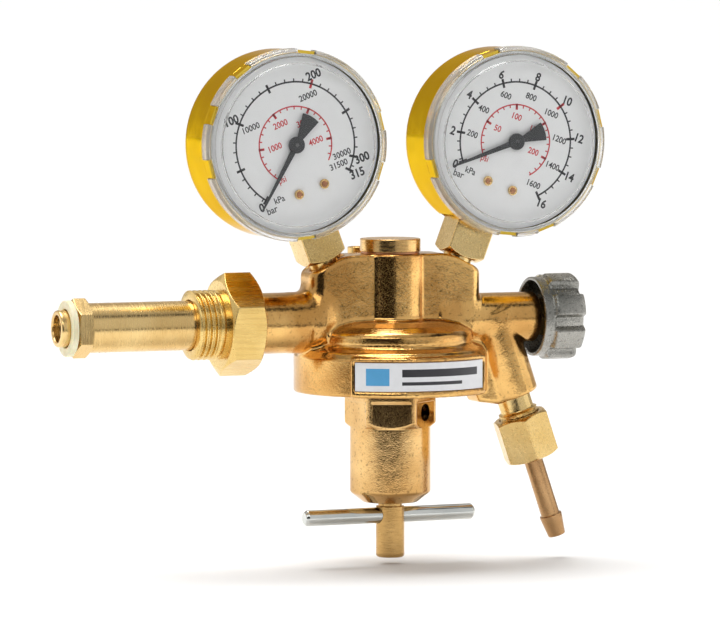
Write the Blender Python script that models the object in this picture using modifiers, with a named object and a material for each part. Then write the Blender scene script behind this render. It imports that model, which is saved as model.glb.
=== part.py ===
"""Single-stage cylinder pressure regulator with two gauges, an outlet valve and a hose tail.

Frame: +Z up, +X towards the outlet handwheel, -Y towards the gauge faces. The origin is the
centre of the inlet washer's sealing face, so the inlet axis is the X axis.
"""
import math

import bmesh
import bpy
from mathutils import Matrix, Vector

MM = 0.001
SEAT_GAP = 0.3 * MM
THREAD_GAP = 0.15 * MM
RUNNING_GAP = 0.15 * MM
OVERLAP = 1.0 * MM

# Forged body, measured from the vertical axis and the inlet axis
BLOCK_HALF_WIDTH = 30.0 * MM
BLOCK_THICKNESS = 16.0 * MM
BLOCK_TOP = 22.2 * MM
BLOCK_ROOT = -4.0 * MM
BOSS_SETBACK = 0.05 * MM
BLOCK_FLAT_HALF_WIDTH = 19.0 * MM
BLOCK_CORNER_RADIUS = 4.5 * MM
SHOULDER_SLOPE = math.radians(27.5)
CENTRE_BOSS_RADIUS = 11.55 * MM
DOME_CROWN = 0.9 * MM
DOME_EDGE_DROP = 2.6 * MM
RING_RADIUS = 27.0 * MM
RING_HEIGHT = 4.4 * MM
GROOVE_WIDTH = 1.2 * MM
GROOVE_DROP = 0.9 * MM
CUP_RADIUS = 32.0 * MM
CUP_TOP = -9.6 * MM
CUP_BOTTOM = -23.4 * MM
INLET_BOSS_RADIUS = 10.0 * MM
INLET_BOSS_REACH = 47.5 * MM
INLET_BOSS_TAPER = 3.5 * MM
OUTLET_BOSS_RADIUS = 8.3 * MM
OUTLET_BOSS_REACH = 51.0 * MM
HOSE_BOSS_INSET = 16.0 * MM
HOSE_BOSS_OFFSET = OUTLET_BOSS_REACH - HOSE_BOSS_INSET
HOSE_BOSS_RADIUS = 8.7 * MM
HOSE_BOSS_LENGTH = 27.4 * MM
HOSE_LEAN = math.radians(18.8)
WEB_THICKNESS = 11.0 * MM
WEB_ROOT = 4.3 * MM
WEB_TOP = -5.0 * MM
WEB_TOE = 2.15 * MM
WEB_HEEL = 0.9 * MM
RELIEF_X = -4.9 * MM
RELIEF_Y = 16.8 * MM
RELIEF_BOSS_RADIUS = 6.2 * MM
RELIEF_BOSS_TOP = 18.4 * MM

# Label pad on the front of the cup
PAD_STAND = 2.5 * MM
PAD_HALF_ANGLE = math.radians(44.0)
PAD_TOP = -10.2 * MM
PAD_FRAME = 1.3 * MM
PAD_RECESS = 1.1 * MM
LABEL_THICKNESS = 0.4 * MM

# Passages and chambers in the body
VALVE_CHAMBER_RADIUS = 6.0 * MM
VALVE_CHAMBER_FLOOR = -2.0 * MM
LOW_CHAMBER_RADIUS = 20.0 * MM
LOW_CHAMBER_TOP = -9.0 * MM
DIAPHRAGM_LAND = -13.0 * MM
PASSAGE_RADIUS = 1.8 * MM
HOSE_PASSAGE_RADIUS = 3.0 * MM
SPOT_FACE_RADIUS = 7.4 * MM
SPOT_FACE_DEPTH = 6.0 * MM
GAUGE_DRILLING = 1.5 * MM
LOW_PASSAGE_OFFSET = 18.0 * MM

# High-pressure valve
ORIFICE_RADIUS = 1.4 * MM
NOZZLE_SHANK_RADIUS = 2.9 * MM
NOZZLE_FLANGE_RADIUS = 4.6 * MM
NOZZLE_TIP_RADIUS = 2.3 * MM
NOZZLE_FLANGE_THICKNESS = 1.2 * MM
NOZZLE_LIP = 0.8 * MM
POPPET_RADIUS = 4.4 * MM
POPPET_HEIGHT = 3.3 * MM
POPPET_STEM_RADIUS = 2.2 * MM
POPPET_STEM_REACH = 3.2 * MM
POPPET_SPRING_RADIUS = 3.3 * MM
POPPET_SPRING_WIRE = 0.8 * MM
POPPET_SPRING_TURNS = 4
PIN_RADIUS = 1.0 * MM
PIN_FOOT_RADIUS = 9.0 * MM
PIN_FOOT_THICKNESS = 1.4 * MM
PLUG_RADIUS = 10.0 * MM
PLUG_HEIGHT = 4.2 * MM
PLUG_THREAD_RADIUS = 7.5 * MM
PLUG_THREAD_LENGTH = 10.2 * MM
PLUG_GUIDE_DEPTH = 4.5 * MM
PLUG_PIN_HOLE_RADIUS = 1.2 * MM
PLUG_PIN_HOLE_DEPTH = 2.4 * MM
PLUG_PIN_HOLE_OFFSET = 6.2 * MM
PLUG_SEAL_THICKNESS = 0.4 * MM

# Diaphragm and bonnet
DIAPHRAGM_THICKNESS = 1.2 * MM
DIAPHRAGM_WAVE = 0.9 * MM
SLIP_RING_THICKNESS = 0.6 * MM
SLIP_RING_BORE = 19.7 * MM
PLATE_RADIUS = 15.0 * MM
PLATE_THICKNESS = 2.0 * MM
PLATE_CLEARANCE = 0.8 * MM
PLATE_SPACE = 4.2 * MM
SPRING_GUIDE_RADIUS = 7.3 * MM
SPRING_GUIDE_HEIGHT = 3.0 * MM
BONNET_THREAD_RADIUS = 26.1 * MM
BONNET_FLANGE_THICKNESS = 7.1 * MM
BONNET_ACROSS_FLATS = 27.0 * MM
BONNET_HEX_LENGTH = 13.0 * MM
BONNET_TURN = math.radians(39.7)
BONNET_RADIUS = 13.4 * MM
BONNET_LENGTH = 44.4 * MM
BONNET_TAPER = 3.6 * MM
BONNET_NOSE_RADIUS = 9.1 * MM
BONNET_BORE_RADIUS = 11.0 * MM
BONNET_FLOOR = 7.6 * MM
VENT_RADIUS = 2.95 * MM
VENT_DROP = 7.4 * MM
MAIN_SPRING_RADIUS = 9.0 * MM
MAIN_SPRING_WIRE = 2.5 * MM
MAIN_SPRING_LENGTH = 22.0 * MM
MAIN_SPRING_TURNS = 5.5
BUTTON_RADIUS = 10.4 * MM
BUTTON_THICKNESS = 2.6 * MM

# Adjusting spindle and T-bar
SPINDLE_THREAD_RADIUS = 4.0 * MM
SPINDLE_TIP_RADIUS = 2.5 * MM
SPINDLE_TIP_LENGTH = 2.2 * MM
SPINDLE_RADIUS = 4.74 * MM
SPINDLE_NECK = 1.4 * MM
SPINDLE_HEAD = 17.1 * MM
T_BAR_RADIUS = 2.65 * MM
T_BAR_LENGTH = 62.5 * MM
T_BAR_DROP = 3.1 * MM
T_BAR_TURN = math.radians(3.7)

# Inlet tail and union nut, measured outwards along the inlet axis
TAIL_RADIUS = 8.1 * MM
TAIL_LENGTH = 58.1 * MM
TAIL_THREAD_RADIUS = 6.6 * MM
TAIL_THREAD_LENGTH = 10.8 * MM
TAIL_BORE = 2.5 * MM
COLLAR_ACROSS_FLATS = 17.0 * MM
COLLAR_LENGTH = 5.2 * MM
NOSE_RADIUS = 6.03 * MM
NOSE_LENGTH = 5.3 * MM
NOSE_BORE = 4.4 * MM
NOSE_BORE_DEPTH = 8.4 * MM
WASHER_RADIUS = 9.2 * MM
WASHER_THICKNESS = 2.0 * MM
FILTER_LENGTH = 4.0 * MM
FILTER_CLIP_THICKNESS = 0.7 * MM
NUT_THREAD_RADIUS = 11.45 * MM
NUT_THREAD_LENGTH = 7.1 * MM
NUT_NECK_LENGTH = 2.9 * MM
NUT_NECK_RADIUS = 10.7 * MM
NUT_ACROSS_FLATS = 30.0 * MM
NUT_HEX_LENGTH = 12.0 * MM
NUT_STANDOFF = 1.2 * MM
NUT_TURN = math.radians(-8.0)

# Outlet valve, measured outwards along the outlet axis
OUTLET_SEAT_INSET = 20.0 * MM
OUTLET_SEAT = OUTLET_BOSS_REACH - OUTLET_SEAT_INSET
VALVE_HEAD_RADIUS = 3.4 * MM
VALVE_HEAD_LENGTH = 4.3 * MM
HEAD_POCKET_DEPTH = 1.6 * MM
PACKING_CLEARANCE = 0.2 * MM
OUTLET_CHAMBER_RADIUS = 4.2 * MM
OUTLET_CHAMBER_LENGTH = 9.4 * MM
PACKING_LENGTH = 1.6 * MM
GLAND_THREAD_RADIUS = 5.4 * MM
GLAND_HEX_LENGTH = 3.4 * MM
GLAND_ACROSS_FLATS = 12.0 * MM
STEM_RADIUS = 2.0 * MM
STEM_SETBACK = 0.5 * MM
STEM_STUD_RADIUS = 1.6 * MM
STEM_STUD_LENGTH = 2.5 * MM
WHEEL_SHROUD = 0.6 * MM
WHEEL_START = OUTLET_BOSS_REACH - WHEEL_SHROUD
WHEEL_COLLAR_RADIUS = 13.3 * MM
WHEEL_COLLAR_LENGTH = 3.5 * MM
WHEEL_RADIUS = 14.4 * MM
WHEEL_VALLEY_RADIUS = 12.0 * MM
WHEEL_GRIP_LENGTH = 11.0 * MM
WHEEL_END = WHEEL_START + WHEEL_COLLAR_LENGTH + WHEEL_GRIP_LENGTH
WHEEL_LOBES = 7
WHEEL_TURN = math.radians(-19.7)
WHEEL_CUP_RADIUS = 12.0 * MM
WHEEL_CUP_BOTTOM_RADIUS = 10.2 * MM
WHEEL_WALL = 3.4 * MM
WHEEL_HUB_RADIUS = 4.4 * MM
WHEEL_HUB_LENGTH = 5.2 * MM
WHEEL_RECESS_DEPTH = 2.4 * MM
WHEEL_NUT_ACROSS_FLATS = 6.0 * MM
WHEEL_NUT_LENGTH = 1.8 * MM

# Hose connection, measured along the leaning hose axis
ADAPTOR_NECK_RADIUS = 5.6 * MM
ADAPTOR_NECK_LENGTH = 5.2 * MM
ADAPTOR_THREAD_RADIUS = 6.58 * MM
ADAPTOR_THREAD_LENGTH = 8.4 * MM
ADAPTOR_SHANK_LENGTH = 8.9 * MM
ADAPTOR_BORE = 2.5 * MM
HOSE_NUT_ACROSS_FLATS = 17.0 * MM
HOSE_NUT_LENGTH = 14.9 * MM
HOSE_NUT_OVERLAP = 6.3 * MM
HOSE_NUT_TURN = math.radians(41.8)
HOSE_SEAL_THICKNESS = 0.6 * MM
HOSE_HEAD_RADIUS = 6.2 * MM
HOSE_HEAD_LENGTH = 1.6 * MM
HOSE_COLLAR_RADIUS = 4.05 * MM
HOSE_COLLAR_STAND = 1.0 * MM
HOSE_TUBE_RADIUS = 3.15 * MM
HOSE_TUBE_LENGTH = 19.6 * MM
BARB_RADIUS = 3.77 * MM
BARB_LENGTH = 7.4 * MM
BARB_TIP_RADIUS = 3.0 * MM
HOSE_BORE = 2.0 * MM

# Relief valve
RELIEF_THREAD_RADIUS = 3.5 * MM
RELIEF_THREAD_LENGTH = 6.0 * MM
RELIEF_FLANGE_RADIUS = 4.8 * MM
RELIEF_FLANGE_HEIGHT = 2.6 * MM
RELIEF_CAP_RADIUS = 3.5 * MM
RELIEF_CAP_HEIGHT = 2.3 * MM
RELIEF_BORE = 2.5 * MM
RELIEF_PORT_RADIUS = 1.2 * MM
RELIEF_VENT_RADIUS = 0.9 * MM
RELIEF_FLOOR = 1.4 * MM
RELIEF_SPRING_RADIUS = 1.7 * MM
RELIEF_DISC_GAP = 0.2 * MM
RELIEF_DISC_HEIGHT = 1.2 * MM
RELIEF_SPRING_WIRE = 0.5 * MM
RELIEF_SCREW_HEIGHT = 1.4 * MM

# Gauges: each has its own frame, +Z towards the reader and -Y down its stem
CASE_RADIUS = 31.0 * MM
CASE_WALL = 0.8 * MM
CASE_STEP = 11.0 * MM
CASE_RIM = 15.4 * MM
GAUGE_RADIUS = CASE_RADIUS + 0.5 * MM
RIM_RADIUS = GAUGE_RADIUS - 1.6 * MM
GAUGE_FRONT = 17.8 * MM
GAUGE_BACK = -7.8 * MM
GAUGE_LEAN = math.radians(21.0)
SOCKET_BOTTOM = CASE_RADIUS + 10.1 * MM
STEM_SEAT = SOCKET_BOTTOM + 2.0 * MM
PORT_OFFSET = 23.354 * MM
PORT_RISE = 18.763 * MM
GAUGE_OFFSET = PORT_OFFSET + STEM_SEAT * math.sin(GAUGE_LEAN)
GAUGE_RISE = PORT_RISE + STEM_SEAT * math.cos(GAUGE_LEAN)
WINDOW_THICKNESS = 1.4 * MM
WINDOW_NOTCH_WIDTH = 7.6 * MM
WINDOW_NOTCH_DEPTH = 3.2 * MM
WINDOW_NOTCH_ANGLES = [151, 88, 50, 12, -28, -57, -124]
DIAL_LEVEL = 14.2 * MM
DIAL_THICKNESS = 0.5 * MM
DIAL_GAP = 0.4 * MM
DIAL_HUB_HOLE = 1.4 * MM
DIAL_SCREW_HOLE = 1.2 * MM
DIAL_SCREW_X = 4.7 * MM
DIAL_SCREW_Y = -15.5 * MM
DIAL_SCREW_RADIUS = 1.45 * MM
SCREW_HEAD = 0.5 * MM
SCREW_SHANK_RADIUS = 0.9 * MM
SCREW_SHANK_DEPTH = 2.6 * MM
SCREW_SLOT_WIDTH = 0.4 * MM
SCREW_SLOT_DEPTH = 0.3 * MM
POINTER_LENGTH = 24.0 * MM
POINTER_HUB_RADIUS = 2.75 * MM
POINTER_TAIL = 10.6 * MM
POINTER_TAIL_HALF_ANGLE = math.radians(17.0)
POINTER_THICKNESS = 0.5 * MM
POINTER_TIP_WIDTH = 0.64 * MM
POINTER_WAIST_WIDTH = 1.9 * MM
POINTER_CLEARANCE = 0.9 * MM
POINTER_ZERO = math.radians(220.0)
SOCKET_WIDTH = 13.3 * MM
SOCKET_ENTRY = 4.5 * MM
SOCKET_BORE = 1.2 * MM
SOCKET_STEM_RADIUS = 4.86 * MM
SOCKET_STEM_LENGTH = 10.5 * MM
MOUNT_HALF_WIDTH = 5.0 * MM
MOUNT_TOP = -12.0 * MM
MOUNT_FRONT = 4.2 * MM
TUBE_RADIUS = 22.0 * MM
TUBE_WIDTH = 9.0 * MM
TUBE_DEPTH = 2.2 * MM
TUBE_START = math.radians(-104.0)
TUBE_END = math.radians(-385.0)
GEAR_MODULE = 0.4 * MM
PINION_TEETH = 8
SECTOR_RATIO = 7.5
SECTOR_FIRST_TOOTH = -1
SECTOR_LAST_TOOTH = 7
SECTOR_THICKNESS = 1.0 * MM
SECTOR_TAIL = 6.5 * MM
SECTOR_TAIL_ANGLE = math.radians(252.0)
FRAME_PLATE = 1.2 * MM
FRAME_HALF_WIDTH = 10.0 * MM
FRAME_SPACE = 5.1 * MM
FRAME_FOOT = 3.2 * MM
FRAME_HEAD = 3.0 * MM
PILLAR_RADIUS = 1.3 * MM
PILLAR_RISE = 4.6 * MM
DIAL_POST_RADIUS = 2.2 * MM
ARBOR_RADIUS = 0.6 * MM
LINK_THICKNESS = 0.7 * MM

PARTS = None
TOOLS = None


def clear_scene():
    """Remove every object and make the two collections."""
    global PARTS, TOOLS
    for item in list(bpy.data.objects):
        bpy.data.objects.remove(item, do_unlink=True)
    PARTS = bpy.data.collections.new("cylinder_pressure_regulator")
    TOOLS = bpy.data.collections.new("cutters")
    for group in (PARTS, TOOLS):
        bpy.context.scene.collection.children.link(group)


def material(name, colour, roughness, metallic):
    """Return the named Principled material, made on first use."""
    known = bpy.data.materials.get(name)
    if known:
        return known
    made = bpy.data.materials.new(name)
    made.use_nodes = True
    shader = made.node_tree.nodes["Principled BSDF"]
    shader.inputs["Base Color"].default_value = (*colour, 1.0)
    shader.inputs["Roughness"].default_value = roughness
    shader.inputs["Metallic"].default_value = metallic
    return made


def forged_brass():
    return material("forged_brass", (0.60, 0.34, 0.10), 0.38, 1.0)


def turned_brass():
    return material("turned_brass", (0.78, 0.55, 0.22), 0.28, 1.0)


def gilt_steel():
    return material("gilt_steel", (0.80, 0.58, 0.16), 0.18, 1.0)


def bright_steel():
    return material("bright_steel", (0.72, 0.73, 0.74), 0.22, 1.0)


def spring_steel():
    return material("spring_steel", (0.42, 0.42, 0.44), 0.35, 1.0)


def cast_zinc():
    return material("cast_zinc", (0.46, 0.46, 0.45), 0.50, 1.0)


def black_rubber():
    return material("black_rubber", (0.03, 0.03, 0.03), 0.75, 0.0)


def cream_nylon():
    return material("cream_nylon", (0.80, 0.77, 0.58), 0.45, 0.0)


def clear_plastic():
    return material("clear_plastic", (0.90, 0.93, 0.95), 0.06, 0.0)


def white_enamel():
    return material("white_enamel", (0.82, 0.82, 0.82), 0.45, 0.0)


def black_enamel():
    return material("black_enamel", (0.05, 0.05, 0.06), 0.45, 0.0)


def sintered_bronze():
    return material("sintered_bronze", (0.45, 0.26, 0.12), 0.70, 1.0)


def axis_empty(name, location, rotation=(0.0, 0.0, 0.0), parent=None):
    """An empty whose local Z is the axis that its children are turned about."""
    empty = bpy.data.objects.new(name, None)
    PARTS.objects.link(empty)
    empty.parent = parent
    empty.location = location
    empty.rotation_euler = rotation
    empty.empty_display_size = 10 * MM
    return empty


def place(obj, parent, finish=None, location=(0.0, 0.0, 0.0), rotation=(0.0, 0.0, 0.0)):
    """Link a piece to the parts, or with no finish to the tools, and set its place."""
    group = PARTS if finish else TOOLS
    group.objects.link(obj)
    obj.parent = parent
    obj.location = location
    obj.rotation_euler = rotation
    if finish:
        obj.data.materials.append(finish)
    else:
        obj.hide_render = True
        obj.display_type = "WIRE"
    return obj


def rounded(points, segments=1, closed=False):
    """Turn corners given as (u, v, radius) into arcs; a corner with no radius stays sharp."""
    path = []
    count = len(points)
    for index, corner in enumerate(points):
        here = Vector(corner[:2])
        at_end = not closed and index in (0, count - 1)
        if len(corner) < 3 or at_end:
            path.append(tuple(here))
            continue
        back = Vector(points[index - 1][:2]) - here
        ahead = Vector(points[(index + 1) % count][:2]) - here
        half = back.angle(ahead) / 2
        reach = min(corner[2] / math.tan(half), 0.49 * back.length, 0.49 * ahead.length)
        radius = reach * math.tan(half)
        centre = here + (back.normalized() + ahead.normalized()).normalized() * (radius / math.sin(half))
        start = here + back.normalized() * reach - centre
        end = here + ahead.normalized() * reach - centre
        sweep = start.angle_signed(end)
        for step in range(segments + 1):
            turn = Matrix.Rotation(-sweep * step / segments, 2)
            path.append(tuple(centre + turn @ start))
    return path


def smooth(mesh, angle=35):
    """Shade a mesh smooth, with its edges sharp beyond the angle in degrees."""
    mesh.shade_smooth()
    mesh.set_sharp_from_angle(angle=math.radians(angle))


def turned(name, profile, parent, finish=None, steps=24, ring=False, **where):
    """Lathe (radius, height) points, listed down the outer side, about local Z.

    A ring's profile is a closed loop that stays off the axis.
    """
    mesh = bpy.data.meshes.new(name)
    path = rounded(profile, closed=ring)
    edges = [(i, i + 1) for i in range(len(path) - 1)]
    if ring:
        edges.append((len(path) - 1, 0))
    mesh.from_pydata([(u, 0.0, v) for u, v in path], edges, [])
    obj = bpy.data.objects.new(name, mesh)
    lathe = obj.modifiers.new("lathe", "SCREW")
    lathe.steps = steps
    lathe.render_steps = steps
    lathe.use_merge_vertices = True
    lathe.merge_threshold = 1e-6
    lathe.use_smooth_shade = True
    return place(obj, parent, finish, **where)


def rod(name, radius, low, high, parent, finish=None, steps=20, **where):
    """A plain cylinder about local Z between two heights."""
    profile = [(0, high), (radius, high), (radius, low), (0, low)]
    return turned(name, profile, parent, finish, steps, **where)


def mesh_object(name, build, parent, finish=None, **where):
    """Make an object from a bmesh that the build function fills."""
    mesh = bpy.data.meshes.new(name)
    shape = bmesh.new()
    build(shape)
    shape.to_mesh(mesh)
    shape.free()
    smooth(mesh)
    return place(bpy.data.objects.new(name, mesh), parent, finish, **where)


def block(name, low, high, parent, finish=None, **where):
    """A box between two corners."""
    low, high = Vector(low), Vector(high)

    def build(shape):
        size = Matrix.Diagonal((*(high - low), 1.0))
        bmesh.ops.create_cube(shape, size=1.0, matrix=Matrix.Translation((low + high) / 2) @ size)

    return mesh_object(name, build, parent, finish, **where)


def prism(name, outline, low, high, parent, finish=None, **where):
    """Extrude a flat outline of (x, y) points along local Z between two heights."""
    curve = bpy.data.curves.new(name, "CURVE")
    curve.dimensions = "2D"
    curve.fill_mode = "BOTH"
    curve.extrude = (high - low) / 2
    spline = curve.splines.new("POLY")
    spline.points.add(len(outline) - 1)
    for point, (u, v) in zip(spline.points, outline):
        point.co = (u, v, 0.0, 1.0)
    spline.use_cyclic_u = True
    sketch = bpy.data.objects.new(name, curve)
    bpy.context.scene.collection.objects.link(sketch)
    evaluated = sketch.evaluated_get(bpy.context.evaluated_depsgraph_get())
    mesh = bpy.data.meshes.new_from_object(evaluated)
    bpy.data.objects.remove(sketch)
    solid = bmesh.new()
    solid.from_mesh(mesh)
    bmesh.ops.remove_doubles(solid, verts=solid.verts, dist=1e-7)
    bmesh.ops.translate(solid, verts=solid.verts, vec=(0, 0, (high + low) / 2))
    bmesh.ops.recalc_face_normals(solid, faces=solid.faces)
    solid.to_mesh(mesh)
    solid.free()
    smooth(mesh)
    mesh.materials.clear()
    return place(bpy.data.objects.new(name, mesh), parent, finish, **where)


def combine(obj, tool, operation="DIFFERENCE"):
    """Join, cut or trim a piece with a tool."""
    step = obj.modifiers.new(tool.name, "BOOLEAN")
    step.operation = operation
    step.object = tool
    step.solver = "EXACT"
    return obj


def soften(obj, width, segments=1, angle=40):
    """Round the edges sharper than the angle in degrees."""
    bevel = obj.modifiers.new("edges", "BEVEL")
    bevel.width = width
    bevel.segments = segments
    bevel.limit_method = "ANGLE"
    bevel.angle_limit = math.radians(angle)
    bevel.use_clamp_overlap = True
    return obj


def hexagon(name, across_flats, low, high, turn, parent, finish=None, low_cut=30, high_cut=30):
    """A hexagon bar with a corner at the turn angle, its ends chamfered by cones in degrees."""
    corner = across_flats / math.sqrt(3)
    flat = across_flats / 2

    def build(shape):
        first = Matrix.Rotation(turn - math.pi / 2, 4, "Z")
        centre = Matrix.Translation((0, 0, (low + high) / 2))
        bmesh.ops.create_cone(
            shape, cap_ends=True, segments=6, radius1=corner, radius2=corner, depth=high - low, matrix=centre @ first
        )

    bar = mesh_object(name, build, parent, finish)
    spread = 0.4 * MM
    outer = corner + spread
    rise = (outer - flat) * math.tan(math.radians(high_cut))
    fall = (outer - flat) * math.tan(math.radians(low_cut))
    top = high if high_cut else high + spread
    bottom = low if low_cut else low - spread
    profile = [(0, top)]
    if high_cut:
        profile.append((flat, top))
    profile += [(outer, top - rise), (outer, bottom + fall)]
    if low_cut:
        profile.append((flat, bottom))
    profile.append((0, bottom))
    cone = turned(name + "_trim", profile, parent, steps=24, rotation=(0, 0, turn + 0.05))
    return combine(bar, cone, "INTERSECT")


def coil(name, radius, wire, low, high, turns, parent, finish, points=14):
    """A compression spring with closed end turns, as a round wire along a helix."""
    curve = bpy.data.curves.new(name, "CURVE")
    curve.dimensions = "3D"
    curve.bevel_depth = wire / 2
    curve.bevel_resolution = 1
    curve.use_fill_caps = True
    total = int(turns * points)
    spline = curve.splines.new("POLY")
    spline.points.add(total)
    base, top = low + wire / 2, high - wire / 2
    closed_rise = 1.05 * wire
    for index in range(total + 1):
        turn = index / points
        if turn < 1:
            height = base + closed_rise * turn
        elif turn > turns - 1:
            height = top - closed_rise * (turns - turn)
        else:
            share = (turn - 1) / (turns - 2)
            height = base + closed_rise + (top - base - 2 * closed_rise) * share
        angle = 2 * math.pi * turn
        spline.points[index].co = (radius * math.cos(angle), radius * math.sin(angle), height, 1.0)
    return place(bpy.data.objects.new(name, curve), parent, finish)


def curved_plate(name, radius, thickness, half_angle, low, high, parent, finish=None, steps=14):
    """A plate bent about local Z, centred on the front, its inner face at the radius."""
    mesh = bpy.data.meshes.new(name)
    mesh.from_pydata([(radius, 0, high), (radius, 0, low)], [(0, 1)], [])
    obj = bpy.data.objects.new(name, mesh)
    bend = obj.modifiers.new("bend", "SCREW")
    bend.angle = 2 * half_angle
    bend.steps = steps
    bend.render_steps = steps
    bend.merge_threshold = 1e-6
    bend.use_smooth_shade = True
    wall = obj.modifiers.new("wall", "SOLIDIFY")
    wall.thickness = thickness
    wall.offset = 1.0
    return place(obj, parent, finish, rotation=(0, 0, -math.pi / 2 - half_angle))


def shoulder_cutter(side, main):
    """A tilted slab that takes one shoulder off the upper block; side is -1 left, +1 right."""
    reach = 2 * BLOCK_HALF_WIDTH
    slab = block(f"shoulder_{'left' if side < 0 else 'right'}", (0, -reach, 0), (reach, reach, reach), main)
    slab.location = (side * BLOCK_FLAT_HALF_WIDTH, 0, BLOCK_TOP)
    slab.rotation_euler = (0, SHOULDER_SLOPE, 0) if side > 0 else (0, SHOULDER_SLOPE, math.pi)
    return slab


def upper_block(main):
    """The flat forged block that carries the gauges, with rounded upright edges."""
    half_x, half_y = BLOCK_HALF_WIDTH, BLOCK_THICKNESS / 2
    corner = BLOCK_CORNER_RADIUS
    outline = rounded(
        [(-half_x, -half_y, corner), (half_x, -half_y, corner), (half_x, half_y, corner), (-half_x, half_y, corner)],
        segments=3,
        closed=True,
    )
    shape = prism("upper_block", outline, BLOCK_ROOT, BLOCK_TOP, main)
    for side in (-1, 1):
        combine(shape, shoulder_cutter(side, main))
    return soften(shape, 0.7 * MM)


def dome_profile():
    """Radius and height down the dome, the ring, the groove and the diaphragm cup."""
    ring_top = -DOME_EDGE_DROP
    ring_bottom = ring_top - RING_HEIGHT
    return [
        (0, DOME_CROWN),
        (CENTRE_BOSS_RADIUS, DOME_CROWN - SEAT_GAP),
        (RING_RADIUS, ring_top, 1.6 * MM),
        (RING_RADIUS, ring_bottom, 0.8 * MM),
        (RING_RADIUS + GROOVE_WIDTH, ring_bottom - GROOVE_DROP),
        (CUP_RADIUS, CUP_TOP, 2.2 * MM),
        (CUP_RADIUS, CUP_BOTTOM, 0.6 * MM),
        (0, CUP_BOTTOM),
    ]


def hose_web(main):
    """The web that ties the cup to the leaning hose boss, with its foot below the cup."""
    lean_x, lean_z = math.sin(HOSE_LEAN), -math.cos(HOSE_LEAN)
    end_x = HOSE_BOSS_OFFSET + HOSE_BOSS_LENGTH * lean_x
    end_z = HOSE_BOSS_LENGTH * lean_z
    inner = CUP_RADIUS - WEB_ROOT
    outline = [
        (inner, WEB_TOP),
        (inner, CUP_BOTTOM - SEAT_GAP),
        (inner + WEB_TOE, end_z - WEB_TOE),
        (max(end_x, inner + 2 * WEB_TOE) - OVERLAP, end_z - WEB_HEEL),
        (max(HOSE_BOSS_OFFSET, inner + WEB_TOE) + OVERLAP, WEB_TOP),
    ]
    return prism("hose_web", outline, -WEB_THICKNESS / 2, WEB_THICKNESS / 2, main, rotation=(math.pi / 2, 0, 0))


def inlet_boss_profile():
    return [
        (0, INLET_BOSS_REACH),
        (INLET_BOSS_RADIUS, INLET_BOSS_REACH, 0.5 * MM),
        (INLET_BOSS_RADIUS, BLOCK_HALF_WIDTH - INLET_BOSS_TAPER, 3.0 * MM),
        (INLET_BOSS_RADIUS - INLET_BOSS_TAPER, BLOCK_HALF_WIDTH - 2 * INLET_BOSS_TAPER),
        (0, BLOCK_HALF_WIDTH - 2 * INLET_BOSS_TAPER),
    ]


def outlet_boss_profile():
    return [
        (0, OUTLET_BOSS_REACH),
        (OUTLET_BOSS_RADIUS, OUTLET_BOSS_REACH, 0.6 * MM),
        (OUTLET_BOSS_RADIUS, BLOCK_HALF_WIDTH - OUTLET_BOSS_RADIUS),
        (0, BLOCK_HALF_WIDTH - OUTLET_BOSS_RADIUS),
    ]


def body_forms(frames):
    """Every solid form that the forging unites with its dome."""
    main = frames["main"]
    hose_boss = [
        (0, HOSE_BOSS_LENGTH),
        (HOSE_BOSS_RADIUS, HOSE_BOSS_LENGTH, 0.8 * MM),
        (HOSE_BOSS_RADIUS, 0),
        (0, 0),
    ]
    relief_boss = [
        (0, RELIEF_BOSS_TOP),
        (RELIEF_BOSS_RADIUS, RELIEF_BOSS_TOP, 0.6 * MM),
        (RELIEF_BOSS_RADIUS, -7 * MM),
        (0, -7 * MM),
    ]
    pad_wall = PAD_STAND + 2 * OVERLAP
    pad = curved_plate(
        "label_pad", CUP_RADIUS - 2 * OVERLAP, pad_wall, PAD_HALF_ANGLE, CUP_BOTTOM + 0.2 * MM, PAD_TOP, main, steps=14
    )
    soften(pad, 0.7 * MM, segments=1)
    return [
        upper_block(main),
        rod("centre_boss", CENTRE_BOSS_RADIUS, BLOCK_ROOT, BLOCK_TOP - BOSS_SETBACK, main, steps=32),
        turned("inlet_boss", inlet_boss_profile(), frames["inlet"]),
        turned("outlet_boss", outlet_boss_profile(), frames["outlet"]),
        turned("hose_boss", hose_boss, frames["hose"]),
        hose_web(main),
        turned("relief_boss", relief_boss, main, steps=20, location=(RELIEF_X, RELIEF_Y, 0)),
        pad,
    ]


def valve_chamber_cut(main):
    """The bore down the centre boss: plug thread, valve chamber and nozzle thread."""
    plug_hole = PLUG_THREAD_RADIUS + THREAD_GAP
    plug_floor = BLOCK_TOP - PLUG_THREAD_LENGTH - SEAT_GAP
    nozzle_hole = NOZZLE_SHANK_RADIUS + THREAD_GAP
    profile = [
        (0, BLOCK_TOP + 2 * OVERLAP),
        (plug_hole, BLOCK_TOP + 2 * OVERLAP),
        (plug_hole, plug_floor),
        (VALVE_CHAMBER_RADIUS, plug_floor),
        (VALVE_CHAMBER_RADIUS, VALVE_CHAMBER_FLOOR),
        (nozzle_hole, VALVE_CHAMBER_FLOOR),
        (nozzle_hole, LOW_CHAMBER_TOP - OVERLAP),
        (0, LOW_CHAMBER_TOP - OVERLAP),
    ]
    return turned("valve_chamber_cut", profile, main, steps=20)


def cup_cut(main):
    """The low-pressure chamber, the diaphragm land and the bonnet thread."""
    bore = BONNET_THREAD_RADIUS + THREAD_GAP
    profile = [
        (0, LOW_CHAMBER_TOP),
        (LOW_CHAMBER_RADIUS, LOW_CHAMBER_TOP),
        (LOW_CHAMBER_RADIUS, DIAPHRAGM_LAND),
        (bore, DIAPHRAGM_LAND),
        (bore, CUP_BOTTOM - OVERLAP),
        (0, CUP_BOTTOM - OVERLAP),
    ]
    return turned("cup_cut", profile, main, steps=44)


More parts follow.
